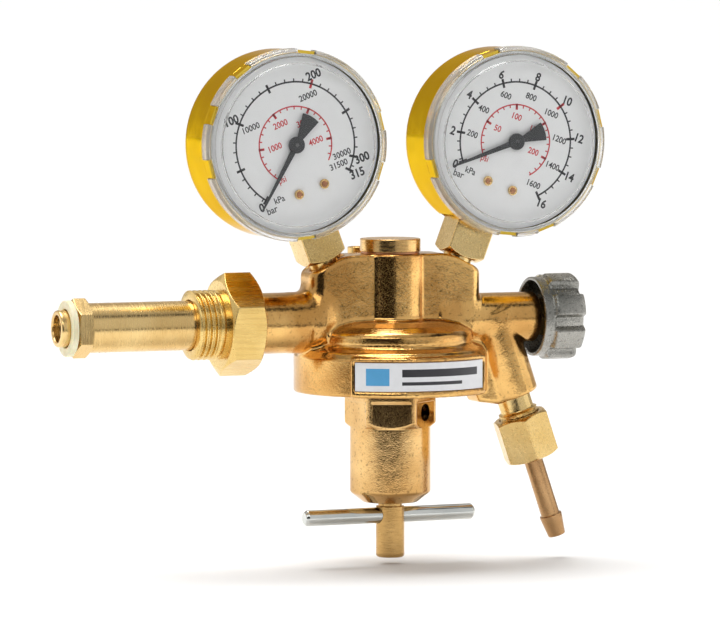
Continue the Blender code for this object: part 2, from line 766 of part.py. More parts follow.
def gauge_port_cut(name, frame, reach):
    """Spot face, stem thread and drilling along a gauge's stem, down to the given distance."""
    seat = -STEM_SEAT
    thread = SOCKET_STEM_RADIUS + THREAD_GAP
    thread_end = seat - SOCKET_STEM_LENGTH
    profile = [
        (0, seat + SPOT_FACE_DEPTH),
        (SPOT_FACE_RADIUS, seat + SPOT_FACE_DEPTH),
        (SPOT_FACE_RADIUS, seat),
        (thread, seat),
        (thread, thread_end),
        (GAUGE_DRILLING, thread_end - GAUGE_DRILLING),
        (GAUGE_DRILLING, -reach),
        (0, -reach),
    ]
    return turned(name, profile, frame, steps=20, rotation=(-math.pi / 2, 0, 0))


def body_cuts(frames):
    """Every bore and recess of the body."""
    main = frames["main"]
    tail_hole = TAIL_THREAD_RADIUS + THREAD_GAP
    inlet = [
        (0, INLET_BOSS_REACH + 2 * OVERLAP),
        (tail_hole, INLET_BOSS_REACH + 2 * OVERLAP),
        (tail_hole, INLET_BOSS_REACH - TAIL_THREAD_LENGTH - SEAT_GAP),
        (PASSAGE_RADIUS, INLET_BOSS_REACH - TAIL_THREAD_LENGTH - SEAT_GAP),
        (PASSAGE_RADIUS, VALVE_CHAMBER_RADIUS - OVERLAP),
        (0, VALVE_CHAMBER_RADIUS - OVERLAP),
    ]
    chamber_end = OUTLET_SEAT + OUTLET_CHAMBER_LENGTH
    outlet = [
        (0, OUTLET_BOSS_REACH + 2 * OVERLAP),
        (GLAND_THREAD_RADIUS + THREAD_GAP, OUTLET_BOSS_REACH + 2 * OVERLAP),
        (GLAND_THREAD_RADIUS + THREAD_GAP, chamber_end),
        (OUTLET_CHAMBER_RADIUS, chamber_end),
        (OUTLET_CHAMBER_RADIUS, OUTLET_SEAT),
        (PASSAGE_RADIUS, OUTLET_SEAT),
        (PASSAGE_RADIUS, LOW_PASSAGE_OFFSET - OVERLAP),
        (0, LOW_PASSAGE_OFFSET - OVERLAP),
    ]
    shank = ADAPTOR_NECK_RADIUS + THREAD_GAP
    shank_floor = HOSE_BOSS_LENGTH - ADAPTOR_SHANK_LENGTH - SEAT_GAP
    hose = [
        (0, HOSE_BOSS_LENGTH + 2 * OVERLAP),
        (shank, HOSE_BOSS_LENGTH + 2 * OVERLAP),
        (shank, shank_floor),
        (HOSE_PASSAGE_RADIUS, shank_floor),
        (HOSE_PASSAGE_RADIUS, OVERLAP),
        (0, OVERLAP),
    ]
    relief_hole = RELIEF_THREAD_RADIUS + THREAD_GAP
    relief_floor = RELIEF_BOSS_TOP - RELIEF_THREAD_LENGTH - SEAT_GAP
    relief = [
        (0, RELIEF_BOSS_TOP + 2 * OVERLAP),
        (relief_hole, RELIEF_BOSS_TOP + 2 * OVERLAP),
        (relief_hole, relief_floor),
        (PASSAGE_RADIUS, relief_floor),
        (PASSAGE_RADIUS, LOW_CHAMBER_TOP - OVERLAP),
        (0, LOW_CHAMBER_TOP - OVERLAP),
    ]
    low_drilling = rod(
        "low_pressure_drilling", PASSAGE_RADIUS, LOW_CHAMBER_TOP - OVERLAP, 0, main, steps=12,
        location=(LOW_PASSAGE_OFFSET, 0, 0),
    )
    high_reach = GAUGE_RISE / math.cos(GAUGE_LEAN)
    low_reach = (GAUGE_RISE - LOW_CHAMBER_TOP + 0.5 * MM) / math.cos(GAUGE_LEAN)
    recess = curved_plate(
        "label_recess",
        CUP_RADIUS + PAD_STAND - PAD_RECESS,
        3 * MM,
        PAD_HALF_ANGLE - PAD_FRAME / CUP_RADIUS,
        CUP_BOTTOM + 2 * OVERLAP,
        PAD_TOP - PAD_FRAME,
        main,
        steps=14,
    )
    return [
        valve_chamber_cut(main),
        cup_cut(main),
        turned("inlet_cut", inlet, frames["inlet"], steps=24),
        turned("outlet_cut", outlet, frames["outlet"], steps=20),
        turned("hose_cut", hose, frames["hose"], steps=20),
        turned("relief_cut", relief, main, steps=16, location=(RELIEF_X, RELIEF_Y, 0)),
        low_drilling,
        gauge_port_cut("high_gauge_port", frames["high_gauge"], high_reach),
        gauge_port_cut("low_gauge_port", frames["low_gauge"], low_reach),
        recess,
    ]


def regulator_body(frames):
    """The forged and machined brass body."""
    body = turned("regulator_body", dome_profile(), frames["main"], forged_brass(), steps=44)
    for form in body_forms(frames):
        combine(body, form, "UNION")
    for cut in body_cuts(frames):
        combine(body, cut)
    return body


def label_plate(main):
    """The thin plate in the recess of the label pad."""
    floor = CUP_RADIUS + PAD_STAND - PAD_RECESS
    edge = 0.4 * MM
    half_angle = PAD_HALF_ANGLE - (PAD_FRAME + edge) / CUP_RADIUS
    curved_plate(
        "label_plate",
        floor + SEAT_GAP,
        LABEL_THICKNESS,
        half_angle,
        CUP_BOTTOM + 2 * OVERLAP + edge,
        PAD_TOP - PAD_FRAME - edge,
        main,
        material("white_label", (0.85, 0.85, 0.86), 0.4, 0.0),
    )


def inlet_parts(inlet):
    """Tail, washer, filter and clip along the inlet axis."""
    shoulder = INLET_BOSS_REACH + SEAT_GAP
    collar = shoulder + TAIL_LENGTH
    nose = collar + COLLAR_LENGTH
    tip = nose + NOSE_LENGTH
    outer = [
        (0, tip),
        (NOSE_RADIUS, tip, 0.9 * MM),
        (NOSE_RADIUS, collar + OVERLAP),
        (TAIL_RADIUS, collar + OVERLAP),
        (TAIL_RADIUS, shoulder, 0.4 * MM),
        (TAIL_THREAD_RADIUS, shoulder),
        (TAIL_THREAD_RADIUS, shoulder - TAIL_THREAD_LENGTH, 0.6 * MM),
        (0, shoulder - TAIL_THREAD_LENGTH),
    ]
    tail = turned("inlet_tail", outer, inlet, turned_brass())
    combine(tail, hexagon("inlet_collar", COLLAR_ACROSS_FLATS, collar, nose, 0.0, inlet), "UNION")
    bore_floor = tip - NOSE_BORE_DEPTH
    bore = [
        (0, tip + OVERLAP),
        (NOSE_BORE + OVERLAP, tip + OVERLAP),
        (NOSE_BORE, tip - 0.3 * MM),
        (NOSE_BORE, bore_floor),
        (TAIL_BORE, bore_floor),
        (TAIL_BORE, shoulder - TAIL_THREAD_LENGTH - OVERLAP),
        (0, shoulder - TAIL_THREAD_LENGTH - OVERLAP),
    ]
    combine(tail, turned("tail_bore", bore, inlet, steps=16))
    washer_low = nose + SEAT_GAP
    washer_high = washer_low + WASHER_THICKNESS
    washer_bore = NOSE_RADIUS + SEAT_GAP
    washer = [
        (WASHER_RADIUS, washer_high, 0.3 * MM),
        (WASHER_RADIUS, washer_low),
        (washer_bore, washer_low),
        (washer_bore, washer_high),
    ]
    turned("inlet_washer", washer, inlet, cream_nylon(), ring=True)
    filter_low = bore_floor + SEAT_GAP
    filter_high = filter_low + FILTER_LENGTH
    filter_radius = NOSE_BORE - SEAT_GAP
    cone = [
        (0, filter_high),
        (0.6 * filter_radius, filter_high, 0.6 * MM),
        (filter_radius, filter_low + 1.2 * MM),
        (filter_radius, filter_low),
        (0, filter_low),
    ]
    turned("inlet_filter", cone, inlet, sintered_bronze(), steps=16)
    filter_clip(inlet, filter_high + SEAT_GAP)


def filter_clip(inlet, low):
    """A sprung ring with a cross bar that holds the filter in the nose."""
    high = low + FILTER_CLIP_THICKNESS
    outer = NOSE_BORE - SEAT_GAP
    inner = outer - 0.8 * MM
    ring = [(outer, high), (outer, low), (inner, low), (inner, high)]
    clip = turned("filter_clip", ring, inlet, spring_steel(), steps=16, ring=True)
    for index, turn in enumerate((20, 80, 140)):
        bar = block(
            f"clip_bar_{index}",
            (-inner - 0.3 * MM, -0.45 * MM, low + 0.1 * MM),
            (inner + 0.3 * MM, 0.45 * MM, high - 0.1 * MM),
            inlet,
            rotation=(0, 0, math.radians(turn)),
        )
        combine(clip, bar, "UNION")


def inlet_nut(inlet):
    """The union nut with its male thread, free to slide and turn on the tail."""
    back = INLET_BOSS_REACH + NUT_STANDOFF
    face = back + NUT_HEX_LENGTH
    neck = face + NUT_NECK_LENGTH
    front = neck + NUT_THREAD_LENGTH
    nut = hexagon("inlet_nut", NUT_ACROSS_FLATS, back, face, NUT_TURN, inlet, turned_brass())
    shank = [
        (0, front),
        (NUT_THREAD_RADIUS - 1.0 * MM, front),
        (NUT_THREAD_RADIUS, front - 1.0 * MM),
        (NUT_THREAD_RADIUS, neck),
        (NUT_NECK_RADIUS, neck - 0.5 * MM),
        (NUT_NECK_RADIUS, face + 0.8 * MM),
        (NUT_THREAD_RADIUS + 0.2 * MM, face + 0.8 * MM),
        (NUT_THREAD_RADIUS + 0.2 * MM, back + 2 * OVERLAP),
        (0, back + 2 * OVERLAP),
    ]
    combine(nut, turned("nut_shank", shank, inlet), "UNION")
    bore = TAIL_RADIUS + RUNNING_GAP
    combine(nut, rod("nut_bore", bore, back - OVERLAP, front + OVERLAP, inlet, steps=24))


def valve_parts(main):
    """Plug, seal, nozzle, poppet, spring and push pin on the vertical axis."""
    seal_low = BLOCK_TOP + RUNNING_GAP
    seal_high = seal_low + PLUG_SEAL_THICKNESS
    seal_bore = PLUG_THREAD_RADIUS + SEAT_GAP
    seal = [(PLUG_RADIUS - 0.4 * MM, seal_high), (PLUG_RADIUS - 0.4 * MM, seal_low), (seal_bore, seal_low), (seal_bore, seal_high)]
    turned("plug_seal", seal, main, material("soft_copper", (0.62, 0.30, 0.18), 0.4, 1.0), ring=True)
    flange = seal_high + RUNNING_GAP
    top = flange + PLUG_HEIGHT
    shank = BLOCK_TOP - PLUG_THREAD_LENGTH
    plug = [
        (0, top),
        (PLUG_RADIUS, top, 0.4 * MM),
        (PLUG_RADIUS, flange),
        (PLUG_THREAD_RADIUS, flange),
        (PLUG_THREAD_RADIUS, shank),
        (0, shank),
    ]
    plug = turned("top_plug", plug, main, turned_brass())
    guide = POPPET_STEM_RADIUS + SEAT_GAP
    combine(plug, rod("plug_guide", guide, shank - OVERLAP, shank + PLUG_GUIDE_DEPTH, main, steps=16))
    for side in (-1, 1):
        hole = rod(
            f"plug_pin_hole_{side}", PLUG_PIN_HOLE_RADIUS, top - PLUG_PIN_HOLE_DEPTH, top + OVERLAP, main, steps=12,
            location=(side * PLUG_PIN_HOLE_OFFSET, 0, 0),
        )
        combine(plug, hole)
    nozzle_face = VALVE_CHAMBER_FLOOR + SEAT_GAP
    lip = nozzle_face + NOZZLE_FLANGE_THICKNESS + NOZZLE_LIP
    nozzle = [
        (NOZZLE_TIP_RADIUS, lip),
        (NOZZLE_TIP_RADIUS + SEAT_GAP, nozzle_face + NOZZLE_FLANGE_THICKNESS),
        (NOZZLE_FLANGE_RADIUS, nozzle_face + NOZZLE_FLANGE_THICKNESS),
        (NOZZLE_FLANGE_RADIUS, nozzle_face),
        (NOZZLE_SHANK_RADIUS, nozzle_face),
        (NOZZLE_SHANK_RADIUS, LOW_CHAMBER_TOP + 0.4 * MM),
        (ORIFICE_RADIUS, LOW_CHAMBER_TOP + 0.4 * MM),
        (ORIFICE_RADIUS, lip),
    ]
    turned("valve_seat", nozzle, main, turned_brass(), steps=20, ring=True)
    poppet_low = lip + SEAT_GAP
    shoulder = poppet_low + POPPET_HEIGHT
    poppet = [
        (0, shank + POPPET_STEM_REACH),
        (POPPET_STEM_RADIUS, shank + POPPET_STEM_REACH, 0.3 * MM),
        (POPPET_STEM_RADIUS, shoulder),
        (POPPET_RADIUS, shoulder),
        (POPPET_RADIUS, poppet_low),
        (0, poppet_low),
    ]
    turned("poppet", poppet, main, turned_brass(), steps=20)
    coil(
        "poppet_spring", POPPET_SPRING_RADIUS, POPPET_SPRING_WIRE, shoulder + SEAT_GAP, shank - SEAT_GAP,
        POPPET_SPRING_TURNS, main, spring_steel(), points=8,
    )
    foot_low = DIAPHRAGM_LAND
    foot_high = foot_low + PIN_FOOT_THICKNESS
    pin = [
        (0, poppet_low - SEAT_GAP),
        (PIN_RADIUS, poppet_low - SEAT_GAP, 0.3 * MM),
        (PIN_RADIUS, foot_high),
        (PIN_FOOT_RADIUS, foot_high, 0.4 * MM),
        (PIN_FOOT_RADIUS, foot_low),
        (0, foot_low),
    ]
    turned("push_pin", pin, main, bright_steel(), steps=18)


def diaphragm_levels():
    """Heights of the stack under the diaphragm land, top to bottom."""
    top = DIAPHRAGM_LAND - SEAT_GAP
    under = top - DIAPHRAGM_THICKNESS
    plate_top = under - SEAT_GAP
    ring_low = plate_top - SLIP_RING_THICKNESS
    return top, under, plate_top, ring_low


def diaphragm_parts(main):
    """Diaphragm with its wave, the plate under it and the slip ring."""
    top, under, plate_top, ring_low = diaphragm_levels()
    rim = BONNET_THREAD_RADIUS - 0.4 * MM
    wave_in, wave_out = PLATE_RADIUS + 0.6 * MM, LOW_CHAMBER_RADIUS - 0.6 * MM
    middle = (wave_in + wave_out) / 2
    sheet = [
        (0, top),
        (wave_in, top),
        (middle, top + DIAPHRAGM_WAVE, 1.2 * MM),
        (wave_out, top),
        (rim, top),
        (rim, under),
        (wave_out, under),
        (middle, under + DIAPHRAGM_WAVE, 1.2 * MM),
        (wave_in, under),
        (0, under),
    ]
    turned("diaphragm", sheet, main, black_rubber())
    plate_low = plate_top - PLATE_THICKNESS
    guide_low = plate_low - SPRING_GUIDE_HEIGHT
    plate = [
        (0, plate_top),
        (PLATE_RADIUS, plate_top, 0.6 * MM),
        (PLATE_RADIUS, plate_low, 0.4 * MM),
        (SPRING_GUIDE_RADIUS, plate_low),
        (SPRING_GUIDE_RADIUS, guide_low, 0.8 * MM),
        (0, guide_low),
    ]
    turned("diaphragm_plate", plate, main, turned_brass(), steps=28)
    ring = [(rim, plate_top), (rim, ring_low), (SLIP_RING_BORE, ring_low), (SLIP_RING_BORE, plate_top)]
    turned("slip_ring", ring, main, bright_steel(), ring=True)
    return plate_low


def bonnet(main):
    """The spring housing: threaded flange, hexagon, rough-cast barrel and vent hole."""
    top = diaphragm_levels()[3] - SEAT_GAP
    flange_low = top - BONNET_FLANGE_THICKNESS
    end = top - BONNET_LENGTH
    shell = [
        (0, top),
        (BONNET_THREAD_RADIUS, top, 0.5 * MM),
        (BONNET_THREAD_RADIUS, flange_low, 0.5 * MM),
        (BONNET_RADIUS, flange_low),
        (BONNET_RADIUS, end + BONNET_TAPER, 0.8 * MM),
        (BONNET_NOSE_RADIUS, end, 0.4 * MM),
        (0, end),
    ]
    housing = turned("bonnet", shell, main, forged_brass(), steps=32)
    hex_turn = BONNET_TURN - math.pi / 2 + math.pi / 6
    hexa = hexagon(
        "bonnet_hexagon", BONNET_ACROSS_FLATS, flange_low - BONNET_HEX_LENGTH, flange_low + OVERLAP,
        hex_turn, main, low_cut=45, high_cut=0,
    )
    combine(housing, hexa, "UNION")
    cavity = [
        (0, top + OVERLAP),
        (PLATE_RADIUS + PLATE_CLEARANCE, top + OVERLAP),
        (PLATE_RADIUS + PLATE_CLEARANCE, top - PLATE_SPACE),
        (BONNET_BORE_RADIUS, top - PLATE_SPACE),
        (BONNET_BORE_RADIUS, end + BONNET_FLOOR),
        (SPINDLE_THREAD_RADIUS + RUNNING_GAP, end + BONNET_FLOOR),
        (SPINDLE_THREAD_RADIUS + RUNNING_GAP, end - OVERLAP),
        (0, end - OVERLAP),
    ]
    combine(housing, turned("bonnet_cavity", cavity, main, steps=28))
    vent = rod(
        "vent_hole", VENT_RADIUS, 0, BONNET_ACROSS_FLATS, main, steps=16,
        location=(0, 0, flange_low - VENT_DROP), rotation=(math.pi / 2, 0, BONNET_TURN),
    )
    combine(housing, vent)
    return end


def adjusting_parts(main, plate_low, bonnet_end):
    """Main spring, spring button, threaded spindle and T-bar."""
    spring_top = plate_low - SEAT_GAP
    spring_low = spring_top - MAIN_SPRING_LENGTH
    coil(
        "main_spring", MAIN_SPRING_RADIUS, MAIN_SPRING_WIRE, spring_low, spring_top,
        MAIN_SPRING_TURNS, main, spring_steel(), points=10,
    )
    seat = spring_low - SEAT_GAP
    under = seat - BUTTON_THICKNESS
    button = [
        (0, seat + SPRING_GUIDE_HEIGHT),
        (SPRING_GUIDE_RADIUS, seat + SPRING_GUIDE_HEIGHT, 0.8 * MM),
        (SPRING_GUIDE_RADIUS, seat),
        (BUTTON_RADIUS, seat),
        (BUTTON_RADIUS, under, 0.4 * MM),
        (SPINDLE_TIP_RADIUS + RUNNING_GAP, under),
        (SPINDLE_TIP_RADIUS + RUNNING_GAP, under + SPINDLE_TIP_LENGTH),
        (0, under + SPINDLE_TIP_LENGTH),
    ]
    turned("spring_button", button, main, bright_steel(), steps=24)
    thread_top = under - SEAT_GAP
    neck_low = bonnet_end - SPINDLE_NECK
    tip = neck_low - SPINDLE_HEAD
    spindle = [
        (0, under + SPINDLE_TIP_LENGTH - SEAT_GAP),
        (SPINDLE_TIP_RADIUS, under + SPINDLE_TIP_LENGTH - SEAT_GAP, 0.4 * MM),
        (SPINDLE_TIP_RADIUS, thread_top),
        (SPINDLE_THREAD_RADIUS, thread_top, 0.5 * MM),
        (SPINDLE_THREAD_RADIUS, neck_low),
        (SPINDLE_RADIUS, neck_low, 0.4 * MM),
        (SPINDLE_RADIUS, tip, 1.3 * MM),
        (0, tip),
    ]
    screw = turned("adjusting_spindle", spindle, main, turned_brass(), steps=20)
    bar_level = neck_low - T_BAR_DROP
    across = (0, math.pi / 2, T_BAR_TURN)
    hole = rod(
        "t_bar_hole", T_BAR_RADIUS + RUNNING_GAP, -10 * MM, 10 * MM, main, steps=16,
        location=(0, 0, bar_level), rotation=across,
    )
    combine(screw, hole)
    half = T_BAR_LENGTH / 2
    bar = [(0, half), (T_BAR_RADIUS, half, 0.7 * MM), (T_BAR_RADIUS, -half, 0.7 * MM), (0, -half)]
    turned("t_bar", bar, main, bright_steel(), steps=16, location=(0, 0, bar_level), rotation=across)


def relief_valve(main):
    """The small relief valve that stands on its boss behind the plug."""
    seat = axis_empty("relief_axis", (RELIEF_X, RELIEF_Y, 0), parent=main)
    bottom = RELIEF_BOSS_TOP - RELIEF_THREAD_LENGTH
    flange_low = RELIEF_BOSS_TOP + SEAT_GAP
    flange_high = flange_low + RELIEF_FLANGE_HEIGHT
    top = flange_high + RELIEF_CAP_HEIGHT
    floor = bottom + RELIEF_FLOOR
    housing = [
        (RELIEF_CAP_RADIUS, top, 0.3 * MM),
        (RELIEF_CAP_RADIUS, flange_high),
        (RELIEF_FLANGE_RADIUS, flange_high, 0.4 * MM),
        (RELIEF_FLANGE_RADIUS, flange_low),
        (RELIEF_THREAD_RADIUS, flange_low),
        (RELIEF_THREAD_RADIUS, bottom),
        (RELIEF_PORT_RADIUS, bottom),
        (RELIEF_PORT_RADIUS, floor),
        (RELIEF_BORE, floor),
        (RELIEF_BORE, top),
    ]
    turned("relief_housing", housing, seat, turned_brass(), steps=16, ring=True)
    disc_low = floor + SEAT_GAP
    disc_high = disc_low + RELIEF_DISC_HEIGHT
    disc = [
        (0, disc_high),
        (RELIEF_BORE - RELIEF_DISC_GAP, disc_high),
        (RELIEF_BORE - RELIEF_DISC_GAP, disc_low, 0.3 * MM),
        (0, disc_low),
    ]
    turned("relief_disc", disc, seat, black_rubber(), steps=14)
    screw_high = top - 0.3 * MM
    screw_low = screw_high - RELIEF_SCREW_HEIGHT
    ring = [
        (RELIEF_BORE - THREAD_GAP, screw_high),
        (RELIEF_BORE - THREAD_GAP, screw_low),
        (RELIEF_VENT_RADIUS, screw_low),
        (RELIEF_VENT_RADIUS, screw_high),
    ]
    turned("relief_screw", ring, seat, turned_brass(), steps=14, ring=True)
    coil(
        "relief_spring", RELIEF_SPRING_RADIUS, RELIEF_SPRING_WIRE, disc_high + RELIEF_DISC_GAP, screw_low - RELIEF_DISC_GAP,
        4, seat, spring_steel(), points=7,
    )


def outlet_valve(outlet):
    """Valve head, stem, packing and gland nut on the outlet axis."""
    head_low = OUTLET_SEAT + SEAT_GAP
    head_high = head_low + VALVE_HEAD_LENGTH
    pocket = head_high - HEAD_POCKET_DEPTH
    pocket_radius = STEM_RADIUS + RUNNING_GAP
    head = [
        (0, pocket),
        (pocket_radius, pocket),
        (pocket_radius, head_high),
        (VALVE_HEAD_RADIUS, head_high, 0.3 * MM),
        (VALVE_HEAD_RADIUS, head_low, 0.3 * MM),
        (0, head_low),
    ]
    turned("valve_head", head, outlet, turned_brass(), steps=16)
    stem_low = pocket + SEAT_GAP
    stem_high = WHEEL_END - WHEEL_RECESS_DEPTH - STEM_SETBACK
    tip = stem_high + STEM_STUD_LENGTH
    stem = [
        (0, tip),
        (STEM_STUD_RADIUS, tip, 0.3 * MM),
        (STEM_STUD_RADIUS, stem_high),
        (STEM_RADIUS, stem_high),
        (STEM_RADIUS, stem_low),
        (0, stem_low),
    ]
    turned("valve_stem", stem, outlet, turned_brass(), steps=16)
    gland_low = OUTLET_SEAT + OUTLET_CHAMBER_LENGTH + SEAT_GAP
    packing_high = gland_low - SEAT_GAP
    packing_low = packing_high - PACKING_LENGTH
    bore = STEM_RADIUS + RUNNING_GAP
    packing = [
        (OUTLET_CHAMBER_RADIUS - PACKING_CLEARANCE, packing_high),
        (OUTLET_CHAMBER_RADIUS - PACKING_CLEARANCE, packing_low),
        (bore, packing_low),
        (bore, packing_high),
    ]
    turned("gland_packing", packing, outlet, material("white_packing", (0.82, 0.82, 0.78), 0.5, 0.0), steps=16, ring=True)
    face = OUTLET_BOSS_REACH + SEAT_GAP
    gland = hexagon("gland_nut", GLAND_ACROSS_FLATS, face, face + GLAND_HEX_LENGTH, 0.0, outlet, turned_brass(), low_cut=0)
    combine(gland, rod("gland_shank", GLAND_THREAD_RADIUS, gland_low, face + OVERLAP, outlet), "UNION")
    combine(gland, rod("gland_bore", bore, gland_low - OVERLAP, face + GLAND_HEX_LENGTH + OVERLAP, outlet, steps=16))


def lobed_outline():
    """The grip's outline: narrow rounded ridges with broad shallow valleys between them."""
    pitch = 2 * math.pi / WHEEL_LOBES
    shares = [(0.0, 1.0), (0.1, 0.92), (0.2, 0.12), (0.36, 0.0), (0.64, 0.0), (0.8, 0.12), (0.9, 0.92)]
    points = []
    for lobe in range(WHEEL_LOBES):
        for share, height in shares:
            angle = WHEEL_TURN + pitch * (lobe + share)
            radius = WHEEL_VALLEY_RADIUS + (WHEEL_RADIUS - WHEEL_VALLEY_RADIUS) * height
            points.append((radius * math.cos(angle), radius * math.sin(angle)))
    return points


def handwheel(outlet):
    """The cast handwheel: plain collar, lobed grip, hollow towards the body, hub inside."""
    grip_low = WHEEL_START + WHEEL_COLLAR_LENGTH
    end = WHEEL_END
    wheel = prism("handwheel", lobed_outline(), grip_low, end, outlet, cast_zinc())
    soften(wheel, 0.7 * MM, angle=60)
    collar = [
        (0, grip_low + OVERLAP),
        (WHEEL_VALLEY_RADIUS - 0.5 * MM, grip_low + OVERLAP),
        (WHEEL_COLLAR_RADIUS, grip_low - 0.4 * MM, 0.5 * MM),
        (WHEEL_COLLAR_RADIUS, WHEEL_START, 0.6 * MM),
        (0, WHEEL_START),
    ]
    combine(wheel, turned("wheel_collar", collar, outlet), "UNION")
    floor = end - WHEEL_WALL
    hub_low = floor - WHEEL_HUB_LENGTH
    hollow = [
        (0, hub_low),
        (WHEEL_HUB_RADIUS, hub_low),
        (WHEEL_HUB_RADIUS, floor),
        (WHEEL_CUP_BOTTOM_RADIUS, floor, 1.0 * MM),
        (WHEEL_CUP_RADIUS, WHEEL_START - OVERLAP),
        (0, WHEEL_START - OVERLAP),
    ]
    combine(wheel, turned("wheel_hollow", hollow, outlet))
    recess = end - WHEEL_RECESS_DEPTH
    bore = [
        (0, end + OVERLAP),
        (WHEEL_HUB_RADIUS, end + OVERLAP),
        (WHEEL_HUB_RADIUS, recess),
        (STEM_RADIUS + RUNNING_GAP, recess),
        (STEM_RADIUS + RUNNING_GAP, hub_low - OVERLAP),
        (0, hub_low - OVERLAP),
    ]
    combine(wheel, turned("wheel_bore", bore, outlet, steps=18))
    nut_low = recess + SEAT_GAP
    nut = hexagon("wheel_nut", WHEEL_NUT_ACROSS_FLATS, nut_low, nut_low + WHEEL_NUT_LENGTH, 0.3, outlet, bright_steel(), low_cut=0)
    combine(nut, rod("wheel_nut_bore", STEM_STUD_RADIUS + THREAD_GAP, nut_low - OVERLAP, end + OVERLAP, outlet, steps=14))


def hose_connection(hose):
    """Outlet adaptor, seal, hose nut and barbed hose tail on the leaning axis."""
    neck = HOSE_BOSS_LENGTH
    thread = neck + ADAPTOR_NECK_LENGTH
    adaptor_end = thread + ADAPTOR_THREAD_LENGTH
    adaptor = [
        (ADAPTOR_THREAD_RADIUS, adaptor_end, 0.6 * MM),
        (ADAPTOR_THREAD_RADIUS, thread, 0.6 * MM),
        (ADAPTOR_NECK_RADIUS, thread - 0.6 * MM),
        (ADAPTOR_NECK_RADIUS, neck - ADAPTOR_SHANK_LENGTH, 0.5 * MM),
        (ADAPTOR_BORE, neck - ADAPTOR_SHANK_LENGTH),
        (ADAPTOR_BORE, adaptor_end),
    ]
    turned("outlet_adaptor", adaptor, hose, turned_brass(), steps=24, ring=True)
    seal_low = adaptor_end + SEAT_GAP
    seal_high = seal_low + HOSE_SEAL_THICKNESS
    seal = [(HOSE_HEAD_RADIUS, seal_high), (HOSE_HEAD_RADIUS, seal_low), (ADAPTOR_BORE, seal_low), (ADAPTOR_BORE, seal_high)]
    turned("hose_seal", seal, hose, black_rubber(), steps=20, ring=True)
    head_low = seal_high + SEAT_GAP
    head_high = head_low + HOSE_HEAD_LENGTH
    nut_low = adaptor_end - HOSE_NUT_OVERLAP
    nut_high = nut_low + HOSE_NUT_LENGTH
    collar_end = nut_high + HOSE_COLLAR_STAND
    barb = collar_end + HOSE_TUBE_LENGTH
    tip = barb + BARB_LENGTH
    tail = [
        (BARB_TIP_RADIUS, tip, 0.5 * MM),
        (BARB_RADIUS, barb + 0.4 * MM),
        (HOSE_TUBE_RADIUS, barb),
        (HOSE_TUBE_RADIUS, collar_end),
        (HOSE_COLLAR_RADIUS, collar_end, 0.3 * MM),
        (HOSE_COLLAR_RADIUS, head_high),
        (HOSE_HEAD_RADIUS, head_high, 0.3 * MM),
        (HOSE_HEAD_RADIUS, head_low),
        (HOSE_BORE, head_low),
        (HOSE_BORE, tip),
    ]
    turned("hose_tail", tail, hose, turned_brass(), steps=20, ring=True)
    nut = hexagon("hose_nut", HOSE_NUT_ACROSS_FLATS, nut_low, nut_high, HOSE_NUT_TURN, hose, turned_brass())
    shoulder = head_high + SEAT_GAP
    bore = [
        (0, nut_high + OVERLAP),
        (HOSE_COLLAR_RADIUS + SEAT_GAP, nut_high + OVERLAP),
        (HOSE_COLLAR_RADIUS + SEAT_GAP, shoulder),
        (ADAPTOR_THREAD_RADIUS + THREAD_GAP, shoulder),
        (ADAPTOR_THREAD_RADIUS + THREAD_GAP, nut_low + 0.6 * MM),
        (ADAPTOR_THREAD_RADIUS + 0.8 * MM, nut_low - 0.1 * MM),
        (ADAPTOR_THREAD_RADIUS + 0.8 * MM, nut_low - OVERLAP),
        (0, nut_low - OVERLAP),
    ]
    combine(nut, turned("hose_nut_bore", bore, hose, steps=24))


def gauge_case(name, frame):
    """The drawn case with its stepped rim and the opening for the socket."""
    rim_outer = RIM_RADIUS
    rim_inner = rim_outer - CASE_WALL
    inner = CASE_RADIUS - CASE_WALL
    floor = GAUGE_BACK + CASE_WALL
    shell = [
        (0, floor),
        (inner, floor, 2.4 * MM),
        (inner, CASE_STEP - CASE_WALL),
        (rim_inner, CASE_STEP - CASE_WALL),
        (rim_inner, CASE_RIM),
        (rim_outer, CASE_RIM),
        (rim_outer, CASE_STEP),
        (CASE_RADIUS, CASE_STEP, 0.4 * MM),
        (CASE_RADIUS, GAUGE_BACK, 3.0 * MM),
        (0, GAUGE_BACK),
    ]
    case = turned(name + "_case", shell, frame, gilt_steel(), steps=32)
    half = SOCKET_WIDTH / 2 + SEAT_GAP
    opening = block(name + "_socket_opening", (-half, -CASE_RADIUS - 4 * MM, -half), (half, -MOUNT_HALF_WIDTH * 4, half), frame)
    return combine(case, opening)


def window_notches(name, frame):
    """Seven boxes round the skirt, as one tool."""

    def build(shape):
        deep = 2 * (GAUGE_RADIUS - RIM_RADIUS)
        for angle in WINDOW_NOTCH_ANGLES:
            centre = Vector((GAUGE_RADIUS, 0, CASE_STEP + WINDOW_NOTCH_DEPTH / 2))
            size = Matrix.Diagonal((2 * deep, WINDOW_NOTCH_WIDTH, WINDOW_NOTCH_DEPTH + OVERLAP, 1.0))
            turn = Matrix.Rotation(math.radians(angle), 4, "Z")
            bmesh.ops.create_cube(shape, size=1.0, matrix=turn @ Matrix.Translation(centre) @ size)

    return mesh_object(name + "_notches", build, frame)


def gauge_window(name, frame):
    """The clear snap-on window with its notched skirt."""
    inner = RIM_RADIUS + SEAT_GAP
    under = GAUGE_FRONT - WINDOW_THICKNESS
    skirt = CASE_STEP + SEAT_GAP
    shell = [
        (0, GAUGE_FRONT),
        (GAUGE_RADIUS, GAUGE_FRONT, 1.3 * MM),
        (GAUGE_RADIUS, skirt),
        (inner, skirt),
        (inner, under, 0.4 * MM),
        (0, under),
    ]
    window = turned(name + "_window", shell, frame, clear_plastic(), steps=32)
    return combine(window, window_notches(name, frame))


